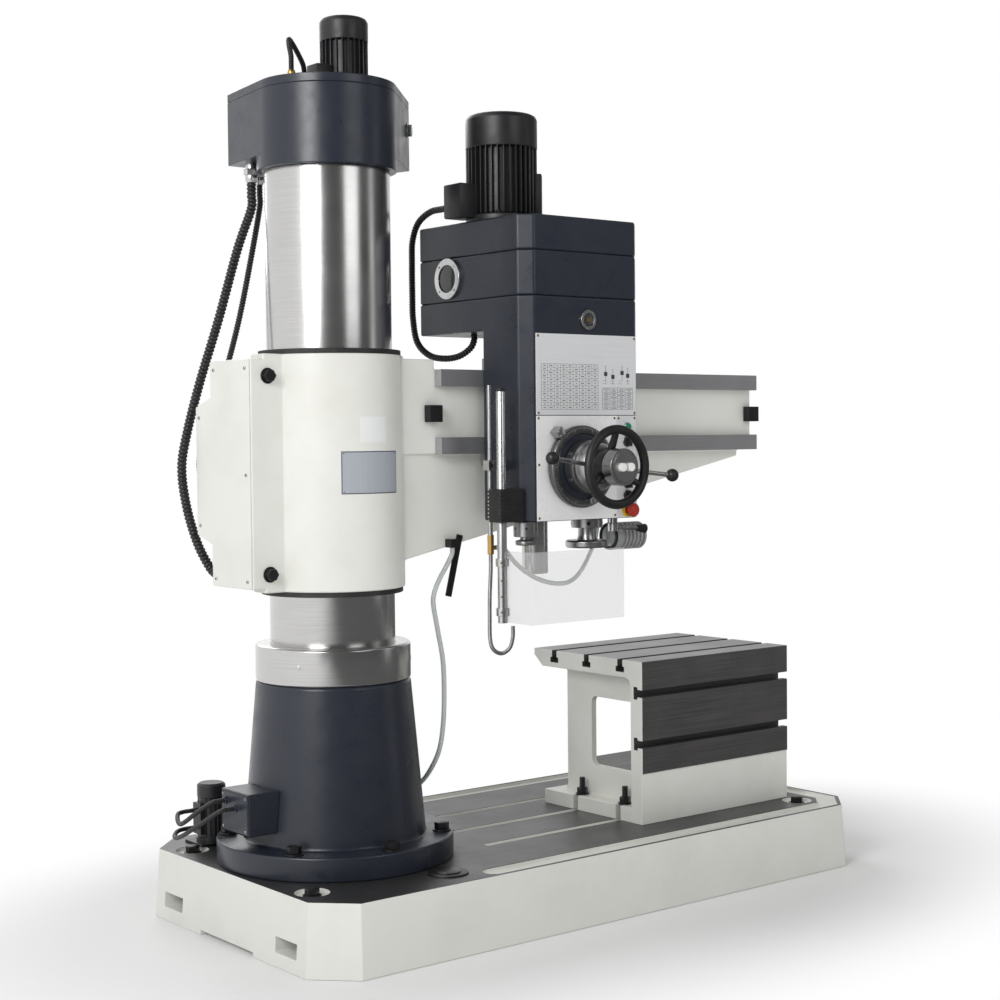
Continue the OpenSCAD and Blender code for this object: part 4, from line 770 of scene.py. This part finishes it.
rolled_steel = surface("rolled_steel", cut_grain, (0.40, 0.395, 0.39), (0.22, 0.215, 0.21), 0.34,
    (40, 40, 300), 1.0, 0.1)
screw_low, screw_top = 1.212, 2.1497
bm = bmesh.new()
turned(bm, [(0, screw_low), (0.020, screw_low), (0.0205, screw_low + 0.004), (0.0205, screw_top),
    (0, screw_top)], screw_axis, steps=48)
ridge = [bm.verts.new(screw_axis + Vector((r, 0, screw_low + z))) for r,
    z in ((0.0195, 0.012), (0.025, 0.0145), (0.025, 0.0175), (0.0195, 0.020))]
known = set(bm.faces)
turns, turn_steps, screw_pitch = 56, 28, 0.016
bmesh.ops.spin(bm, geom=ridge + [bm.edges.new(pair) for pair in zip(ridge, ridge[1:])], cent=screw_axis,
    axis=up, dvec=(0, 0, screw_pitch / turn_steps), angle=math.tau * turns, steps=turn_steps * turns)
bmesh.ops.recalc_face_normals(bm, faces=given(bm, known, 0))
rod(bm, screw_axis + up * (screw_top - 0.001), screw_axis + up * 2.233, 0.020)
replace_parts(put("lift_screw_bar", bm, "screw", "machined_steel", rolled_steel), "lift_screw")


# Arm.
# One iron casting: the sleeve that slides on the column, the switch cabinet on
# its back, and the arm with a tapering web under its ways. Painted off-white.
dressed("arm_and_sleeve", "arm_casting", 0.005, white_paint, segments=3)
way_steel = surface("way_steel", cut_grain, (0.50, 0.50, 0.515), (0.34, 0.34, 0.35), 0.34, (3, 500, 500),
    0.75, 0.05)
dressed("arm_slideways", "arm_ways", 0.0015, way_steel)
dressed("cabinet_lid", "cabinet_cover", 0.002, white_paint)
felt_rubber = surface("felt_rubber", moulded, (0.018, 0.018, 0.018), (0.05, 0.048, 0.045), 0.62,
    bump=0.3)
dressed("sleeve_wiper_rings", "sleeve_wipers", 0.0015, felt_rubber)
dressed("lift_nut_bronze", "lift_nut", 0.0015, brass)
dressed("arm_stops_and_clips", "arm_fittings", 0.0015, black_steel)

bm = bmesh.new()
for y, z in ((-0.046, 1.560), (0.122, 1.560), (-0.046, 0.986), (0.122, 0.986), (-0.046, 1.273),
        (0.205, 1.430), (0.205, 1.130)):
    cross_screw(bm, (-0.301, y, z), left, 0.006)
put("cabinet_screws", bm, "arm", "bright_metal", bright_steel, black_steel)


def curved_plate(bm, radius, first, last, low, high, thick, part=0):
    """A thin plate that follows the sleeve between two angles and two heights."""
    known = set(bm.faces)
    outline = ((radius, low), (radius + thick, low), (radius + thick, high), (radius, high))
    corners = [bm.verts.new(polar(r, first, z)) for r, z in outline]
    edges = [bm.edges.new((corners[k], corners[(k + 1) % 4])) for k in range(4)]
    bmesh.ops.spin(bm, geom=corners + edges, cent=(0, 0, 0), axis=up, angle=math.radians(last - first),
        steps=24)
    made = given(bm, known, part)
    bmesh.ops.holes_fill(bm, edges=[e for f in made for e in f.edges if e.is_boundary], sides=4)
    bmesh.ops.recalc_face_normals(bm, faces=given(bm, known, part))


# Two blank plates riveted to the sleeve's front
plate_white = surface("plate_white", paint_skin, (0.82, 0.83, 0.83), (0.74, 0.75, 0.75), 0.30, bump=0.03)
plate_grey = surface("plate_grey", cut_grain, (0.52, 0.55, 0.60), (0.46, 0.49, 0.54), 0.36,
    (300, 300, 6), 0.3, 0.03)
plate_edge = surface("plate_edge", paint_skin, (0.10, 0.11, 0.14), (0.14, 0.15, 0.18), 0.4)
sleeve_skin = 0.2047
bm = bmesh.new()
curved_plate(bm, sleeve_skin, -100.2, -75.8, 1.358, 1.428, 0.0007)
curved_plate(bm, sleeve_skin, -115.4, -62.5, 1.2185, 1.3345, 0.0006, 2)
curved_plate(bm, sleeve_skin, -114.6, -63.3, 1.2215, 1.3315, 0.0009, 1)
for degrees, z in ((-113.4, 1.3285), (-64.5, 1.3285), (-113.4, 1.2245), (-64.5, 1.2245)):
    rod(bm, polar(0.2050, degrees, z), polar(0.2066, degrees, z), 0.0022, 0.0014, segments=16, part=3)
put("sleeve_plates", bm, "arm", "white_paint", plate_white, plate_grey, plate_edge, bright_steel)


# Drill head.
# The head is three anthracite castings in a stack: the case that hangs on the
# ways with its overhanging box, a middle case and a top cover.
dressed("head_main_case", "head_case", 0.006, dark_paint, segments=3)
dressed("head_gear_case", "head_middle_case", 0.006, dark_paint, segments=3)
dressed("head_cover", "head_top_cover", 0.006, dark_paint, segments=3)
dressed("head_gib_strips", "head_gibs", 0.001, ground_steel)
dressed("sight_windows", "sight_glasses", 0.0012, bright_steel)
oil_glass = surface("oil_glass", moulded, (0.050, 0.054, 0.052), (0.030, 0.032, 0.030), 0.08, bump=0.0)
outward = Vector((0, -1, 0))
sight, gauge = Vector((0.404, -0.024, 1.833)), Vector((0.633, -0.373, 1.701))
bm = bmesh.new()
turned(bm, [(0, 0.0044), (0.0400, 0.0044), (0.0400, 0.0056), (0, 0.0064)], sight, left, 64, 0, 0.0004)
turned(bm, [(0, 0.0044), (0.0190, 0.0044), (0.0190, 0.0056), (0, 0.0064)], gauge, outward, 48, 0, 0.0004)
rod(bm, gauge + outward * 0.0060, gauge + outward * 0.0068, 0.007, segments=24, part=1)
for k in range(4):
    turn = math.radians(90 * k + 45)
    cross_screw(bm, sight + Vector((-0.009, 0.050 * math.cos(turn), 0.050 * math.sin(turn))), left,
        0.0038, 2)
put("sight_glass_discs", bm, "head", "bright_metal", oil_glass, brass, bright_steel, black_steel)

bm = bmesh.new()
motor_foot = Vector((0.528, -0.120, 1.992))
finned_motor(bm, motor_foot, 0.105, 0.313, 0.020, 0.098, 36, 0.0036)
block(bm, (0.368, -0.130, 2.002), (0.440, -0.050, 2.100), 0.004)
block(bm, (0.3665, -0.127, 2.005), (0.369, -0.053, 2.097), 0.001)
block(bm, (0.080, -0.022, 0), (0.118, 0.022, 0.118), 0.004,
    turn=Matrix.Translation(motor_foot + up * 0.024) @ Matrix.Rotation(math.radians(-42), 4, "Z"))
gland(bm, (0.405, -0.050, 2.040), (0, 1, 0), 0.026, 0.004)
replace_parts(put("main_motor_case", bm, "head", "black_metal", black_paint), "main_motor")

cord("motor_conduit_run", "motor_conduit", [(405, -46, 2040), (405, -20, 2040), (405, 10, 2040),
    (404, 66, 2037), (400, 120, 2010), (397, 146, 1958), (397, 150, 1890), (397, 150, 1800),
    (398, 149, 1726), (402, 134, 1656), (414, 92, 1616), (434, 44, 1604), (460, 4, 1610),
    (480, -24, 1632), (487, -34, 1655), (487, -34, 1673)], 0.020, 96, 0.0022, "black_plastic",
    black_plastic, "head")
spiral_steel = surface("spiral_steel", cut_grain, (0.55, 0.55, 0.55), (0.35, 0.35, 0.35), 0.30,
    (80, 80, 80), 1.0, 0.1)
cord("coolant_gooseneck", "gooseneck", [(350, -277, 1040), (350, -277, 1012), (349, -277, 985),
    (345, -277, 920), (344, -277, 860), (345, -277, 800), (357, -277, 770), (386, -277, 757),
    (415, -277, 770), (427, -277, 800), (428, -277, 832)], 0.012, 110, 0.0008, "bright_metal",
    spiral_steel, "head")
cord("head_coolant_hose", "head_hose", [(366, -277, 1058), (384, -277, 1058), (400, -279, 1050),
    (424, -300, 1010), (452, -336, 976), (500, -352, 956), (560, -346, 950), (620, -318, 956),
    (680, -282, 974), (736, -248, 1004), (780, -228, 1046), (798, -222, 1084), (800, -222, 1104),
    (800, -222, 1122)], 0.013, 90, 0, "clear_plastic", hose_plastic, "head")


# Front plates.
# Two thin aluminium plates screwed to the head's front: the upper one has blank
# ruled tables, the lower one is enamelled white beside a bare switch strip.
plate_face = -0.376
panel_metal = surface("panel_metal", cut_grain, (0.72, 0.725, 0.735), (0.64, 0.645, 0.655), 0.40,
    (6, 400, 400), 0.12, 0.05)
panel_white = surface("panel_white", paint_skin, (0.80, 0.805, 0.80), (0.72, 0.725, 0.72), 0.28,
    bump=0.04)
table_ink = surface("table_ink", paint_skin, (0.05, 0.052, 0.058), (0.10, 0.10, 0.11), 0.5)
lower_plate_top = 1.429
dressed("front_plates", "front_panels", 0.0006, panel_metal, panel_white,
    choose=lambda c, n: 1 if c.z < lower_plate_top else 0)


def line(bm, x, z, wide, high):
    """A printed stroke, a hair proud of the plate."""
    block(bm, (x, plate_face - 0.00015, z), (x + wide, plate_face + 0.0001, z + high), 0)


def ruled_table(bm, x0, x1, z0, z1, columns, rows, fill):
    """A framed table with ruled cells, each holding a plain dash."""
    for k in range(rows + 1):
        line(bm, x0, z0 + (z1 - z0) * k / rows - 0.0004, x1 - x0, 0.0008)
    for k in range(columns + 1):
        line(bm, x0 + (x1 - x0) * k / columns - 0.0004, z0, 0.0008, z1 - z0)
    wide, high = (x1 - x0) / columns, (z1 - z0) / rows
    for i in range(columns):
        for j in range(rows):
            reach = fill * (0.7 + 0.3 * math.sin(2.1 * i + 3.7 * j))
            line(bm, x0 + wide * (i + 0.5 - reach / 2), z0 + high * (j + 0.4), wide * reach, high * 0.22)


bm = bmesh.new()
ruled_table(bm, 0.458, 0.671, 1.446, 1.574, 9, 13, 0.5)
ruled_table(bm, 0.687, 0.806, 1.446, 1.508, 4, 10, 0.7)
for x, z in ((0.700, 1.548), (0.728, 1.540), (0.764, 1.552), (0.786, 1.544)):
    line(bm, x, z - 0.022, 0.0012, 0.046)
    line(bm, x - 0.006, z - 0.006, 0.013, 0.012)
for k in range(4):
    line(bm, 0.690 + 0.030 * k, 1.520, 0.014, 0.0008)
    line(bm, 0.690 + 0.030 * k, 1.528, 0.014, 0.0008)
put("plate_tables", bm, "head", "black_plastic", table_ink)

bm = bmesh.new()
block(bm, (0.741, plate_face - 0.0002, 1.1345), (0.8185, plate_face + 0.0002, 1.4275), 0)
put("switch_strip", bm, "head", "bright_metal", panel_metal)

bm = bmesh.new()
for x, z in ((0.447, 1.652), (0.812, 1.652), (0.447, 1.436), (0.812, 1.436), (0.447, 1.421),
        (0.733, 1.421), (0.447, 1.290), (0.447, 1.140), (0.733, 1.140), (0.749, 1.421), (0.812, 1.421),
        (0.812, 1.140)):
    cross_screw(bm, (x, plate_face, z), outward, 0.0040)
put("plate_screws", bm, "head", "brass", brass, black_steel)


# Switches.
# Standard panel switches in the strip: a green pilot lamp, a green start button,
# three black turn switches, and a red mushroom stop on its yellow collar.
def coloured(name, colour):
    """Moulded switch plastic in one colour."""
    return surface(name, moulded, colour, tuple(c * 0.8 for c in colour), 0.30, bump=0.04)


switch_x = 0.782
pilot_z, start_z, stop_z = 1.396, 1.317, 1.154
selector_z = {"selector_upper": 1.353, "selector_middle": 1.232, "selector_lower": 1.196}
start_green = coloured("start_green", (0.002, 0.20, 0.10))
dressed("start_push", "start_button", 0.002, start_green)
dressed("stop_push", "stop_button", 0.002, coloured("stop_red", (0.45, 0.024, 0.016)))
index_white = coloured("index_white", (0.80, 0.80, 0.78))
for node, z in selector_z.items():
    dressed(node + "_knob", node, 0.0006, black_plastic)
    bm = bmesh.new()
    block(bm, (switch_x - 0.0009, -0.3954, z + 0.001), (switch_x + 0.0009, -0.3949, z + 0.0125), 0)
    put(node + "_index", bm, frame["nodes"][node]["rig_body"], "white_plastic", index_white)

bm = bmesh.new()
turned(bm, [(0, 0), (0.0125, 0), (0.0125, 0.004), (0.0105, 0.006), (0, 0.006)],
    (switch_x, plate_face, pilot_z), outward, 40, edge=0.0004)
for z, r in ((start_z, 0.0142), *((z, 0.0160) for z in selector_z.values())):
    bore = r - 0.0030
    turned(bm, [(bore, 0), (r, 0), (r, 0.0009), (r - 0.001, 0.0014), (bore, 0.0014), (bore, 0)],
        (switch_x, plate_face, z), outward, 40, edge=0.0004)
put("switch_bezels", bm, "head", "bright_metal", bright_steel)

bm = bmesh.new()
turned(bm, [(0, 0.003), (0.0102, 0.003), (0.0102, 0.009), (0.0075, 0.012), (0, 0.013)],
    (switch_x, plate_face, pilot_z), outward, 40, edge=0.003)
put("pilot_lens", bm, "head", "green_plastic", start_green)

bm = bmesh.new()
turned(bm, [(0.0125, 0), (0.0205, 0), (0.0205, 0.0075), (0.0196, 0.0085), (0.0188, 0.0085),
    (0.0148, 0.0044), (0.0125, 0.0042), (0.0125, 0)], (switch_x, plate_face, stop_z), outward, 48,
    edge=0.0003)
put("stop_collar", bm, "head", "white_plastic", coloured("collar_yellow", (0.75, 0.46, 0.004)))


# Feed dial and hub.
# The steel depth ring reads against a fixed zero plate. Inside it a dark disc
# carries the stepped hub, whose slotted drum takes the two feed levers.
feed_axis = Vector((0.592, -0.373, 1.283))


def feed_turn(degrees):
    """The frame round the feed axis: along the radius, across it, and outwards."""
    radial = Vector((math.cos(math.radians(degrees)), 0, math.sin(math.radians(degrees))))
    return Matrix.Translation(feed_axis) @ Matrix((radial, outward.cross(radial),
        outward)).transposed().to_4x4()


ring_steel = surface("ring_steel", cut_grain, (0.20, 0.20, 0.205), (0.13, 0.13, 0.133), 0.36,
    (240, 240, 240), 1.0, 0.05)
bm = bmesh.new()
turned(bm, [(0.095, 0.006), (0.113, 0.006), (0.117, 0.010), (0.117, 0.026), (0.114, 0.030),
    (0.095, 0.030), (0.095, 0.006)], feed_axis, outward, 128, edge=0.001)
turned(bm, [(0.0405, 0.006), (0.0955, 0.006), (0.0955, 0.027), (0.0405, 0.027), (0.0405, 0.006)],
    feed_axis, outward, 128, 1, 0.001)
divisions = 100
for k in range(divisions):
    long = 0.011 if k % 10 == 0 else 0.008 if k % 5 == 0 else 0.005
    block(bm, (0.113 - long, -0.0003, 0.0299), (0.113, 0.0003, 0.0301), 0, part=2,
        turn=feed_turn(360 * k / divisions))
turned(bm, [(0, 0.029), (0.0085, 0.029), (0.0085, 0.034), (0.010, 0.036), (0.010, 0.046), (0.008, 0.047),
    (0, 0.047)], feed_turn(-78) @ Vector((0.097, 0, 0)), outward, 32, 3, 0.0008)
dial = put("depth_ring", bm, frame["nodes"]["depth_dial"]["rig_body"], "bright_metal", ring_steel,
    dark_paint, index_white, bright_steel)
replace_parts(dial, "depth_dial")

satin_steel = surface("satin_steel", cut_grain, (0.46, 0.46, 0.465), (0.34, 0.34, 0.345), 0.30,
    (120, 120, 120), 1.0, 0.05)
dressed("lever_hub", "feed_hub", 0.0006, satin_steel)
grip_start = 0.222
dressed("lever_pair", "feed_levers", 0.0005, bright_steel, black_plastic,
    choose=lambda c, n: 1 if (c - feed_axis).length > grip_start else 0)


# Handwheel and core.
# A dished black handwheel with three spokes moves the head along the arm. The
# fixed steel core stands through it, with two white push buttons in its drum.
rim_radius, rim_height, rim_thick = 0.1045, 0.168, 0.013
bm = bmesh.new()
rim = [(rim_radius + rim_thick * math.cos(math.tau * k / 20),
    rim_height + rim_thick * math.sin(math.tau * k / 20)) for k in range(21)]
turned(bm, rim, feed_axis, outward, 112, edge=0)
turned(bm, [(0.0203, 0.117), (0.046, 0.117), (0.048, 0.120), (0.048, 0.150), (0.040, 0.159),
    (0.0203, 0.160), (0.0203, 0.117)], feed_axis, outward, 64, edge=0.003)
for degrees in (90, 210, 330):
    place = feed_turn(degrees)
    inner, outer = place @ Vector((0.030, 0, 0.136)), place @ Vector((rim_radius, 0, rim_height))
    rod(bm, inner, outer, 0.012, 0.009, 24)
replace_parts(put("feed_handwheel", bm, frame["nodes"]["handwheel"]["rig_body"], "black_plastic",
    black_plastic), "handwheel")

dressed("core_drum", "feed_core", 0.0018, satin_steel)
bm = bmesh.new()
for k in range(24):
    block(bm, (0.0455, -0.0022, 0.1990), (0.0470, 0.0022, 0.1993), 0, turn=feed_turn(15 * k + 4))
put("core_marks", bm, "head", "black_plastic", table_ink)
for node in ("clamp_button", "release_button"):
    dressed(node + "_push", node, 0.0025, index_white)

bm = bmesh.new()
zero = feed_turn(132)
block(bm, (0.118, -0.013, 0.0325), (0.144, 0.013, 0.0345), 0.0006, turn=zero)
for along in (0.124, 0.138):
    cross_screw(bm, zero @ Vector((along, 0.006, 0.0345)), outward, 0.0032)
block(bm, (0.1182, -0.0004, 0.0344), (0.126, 0.0004, 0.0347), 0, part=1, turn=zero)
put("zero_plate", bm, "head", "bright_metal", bright_steel, black_steel)


# Wheels and lever under the head.
# Turned steel knobs under the head set the drilling depth and the fine feed, and
# a chrome lever with a black grip works the clutch.
dressed("fine_wheel", "fine_feed_wheel", 0.0015, satin_steel)
dressed("depth_stop_knob", "depth_knob", 0.0015, satin_steel)
clutch_grip = 0.838
dressed("clutch_lever", "control_lever", 0.001, bright_steel, black_plastic,
    choose=lambda c, n: 1 if c.x > clutch_grip else 0)
for name, node, centre, radius, count, bore in (
        ("fine_wheel_holes", "fine_feed_wheel", Vector((0.682, -0.310, 1.117)), 0.046, 4, 0.0055),
        ("depth_knob_holes", "depth_knob", Vector((0.432, -0.332, 1.112)), 0.034, 6, 0.0035)):
    bm = bmesh.new()
    for k in range(count):
        angle = math.tau * k / count + 4.1
        way = Vector((math.cos(angle), math.sin(angle), 0))
        spot = centre + way * radius
        rod(bm, spot - way * 0.002, spot + way * 0.0002, bore, segments=20)
    put(name, bm, frame["nodes"][node]["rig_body"], "black_metal", black_steel)


# Work lamp.
# A ribbed aluminium lamp hangs under the head and shines along the machine. Its
# lens is held by a black rubber rim.
lamp_alloy = surface("lamp_alloy", cut_grain, (0.60, 0.60, 0.61), (0.48, 0.48, 0.49), 0.40,
    (120, 120, 120), 0.6, 0.05)
dressed("lamp_housing", "work_lamp", 0.0012, lamp_alloy)
lamp_face = Vector((0.822, -0.252, 1.070))
bm = bmesh.new()
turned(bm, [(0.0315, 0.0), (0.0405, 0.0), (0.0405, 0.004), (0.037, 0.007), (0.0315, 0.005),
    (0.0315, 0.0)], lamp_face, left, 64, edge=0.001)
put("lamp_rim", bm, "head", "black_plastic", felt_rubber)
lamp_glass = clear_finish("lamp_glass", (0.78, 0.80, 0.82), 0.12, 0.5, 1.0)
bm = bmesh.new()
turned(bm, [(0, -0.0002), (0.0318, -0.0002), (0.0318, 0.002), (0.022, 0.0045), (0, 0.0056)], lamp_face,
    left, 64, edge=0.002)
for k in range(6):
    inner = 0.004 + 0.0044 * k
    turned(bm, [(inner, 0.003), (inner + 0.0012, 0.0058 - 0.00045 * k), (inner + 0.0024, 0.003)],
        lamp_face, left, 64, edge=0)
put("lamp_lens", bm, "head", "clear_plastic", lamp_glass)


# Chip guard.
# A bent sheet of clear plastic swings on an aluminium tube beside the spindle. A
# ribbed black block on the head holds the tube, and brass screws hold the sheet.
guard_axis = Vector((0.343, -0.337, 0))
tube_top = 1.4945
drawn_aluminium = surface("drawn_aluminium", cut_grain, (0.66, 0.66, 0.67), (0.54, 0.54, 0.55), 0.27,
    (300, 300, 3), 1.0, 0.04)
dressed("guard_tube", "guard_post", 0.001, drawn_aluminium, black_plastic,
    choose=lambda c, n: 1 if c.z > tube_top else 0)
clip_radius, clip_end = 0.0195, 0.3574
guard_clear = clear_finish("guard_clear", (0.72, 0.73, 0.72), 0.08, 0.0, 0.26)
dressed("guard_sheet", "guard_shield", 0.0008, guard_clear, drawn_aluminium,
    choose=lambda c, n: 1 if (c - guard_axis).xy.length < clip_radius and c.x < clip_end else 0)
dressed("guard_holder", "guard_block", 0.002, black_plastic)
bm = bmesh.new()
for k in range(8):
    z = 1.139 + 0.0108 * k
    block(bm, (0.3152, -0.3658, z), (0.400, -0.3082, z + 0.0058), 0.0008)
put("holder_ribs", bm, "head", "black_plastic", black_plastic)
bm = bmesh.new()
way = Vector((-0.72, -0.69, 0)).normalized()
for z, reach in ((0.882, 0.0185), (0.925, 0.0135), (0.970, 0.0135), (1.020, 0.0185)):
    cross_screw(bm, guard_axis + way * reach + up * z, way, 0.0036)
put("guard_screws", bm, frame["nodes"]["guard_shield"]["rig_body"], "brass", brass, black_steel)


# Coolant pipe.
# A bright pipe clamped to the head's side ends in a brass valve, which feeds the
# spiral steel spout and the clear hose to the head.
valve_top = 1.0945
dressed("coolant_riser", "coolant_pipe", 0.0008, bright_steel, brass,
    choose=lambda c, n: 1 if c.z < valve_top else 0)
clamp = Vector((0.350, -0.290, 1.290))
bm = bmesh.new()
rod(bm, clamp + outward * 0.004, clamp + outward * 0.020, 0.005, segments=24)
turned(bm, [(0, 0.014), (0.010, 0.014), (0.011, 0.018), (0.011, 0.030), (0.008, 0.034), (0, 0.034)],
    clamp, outward, 40, edge=0.002)
put("pipe_clamp_knob", bm, "head", "black_plastic", black_plastic)


# Quill and spindle.
# The quill is a ground steel sleeve in the head. The spindle in it ends in a
# tapered socket with a cross slot for the drift key.
dressed("quill_sleeve", "quill", 0.0015, ground_steel)
dressed("spindle_nose", "spindle", 0.0012, ground_steel)
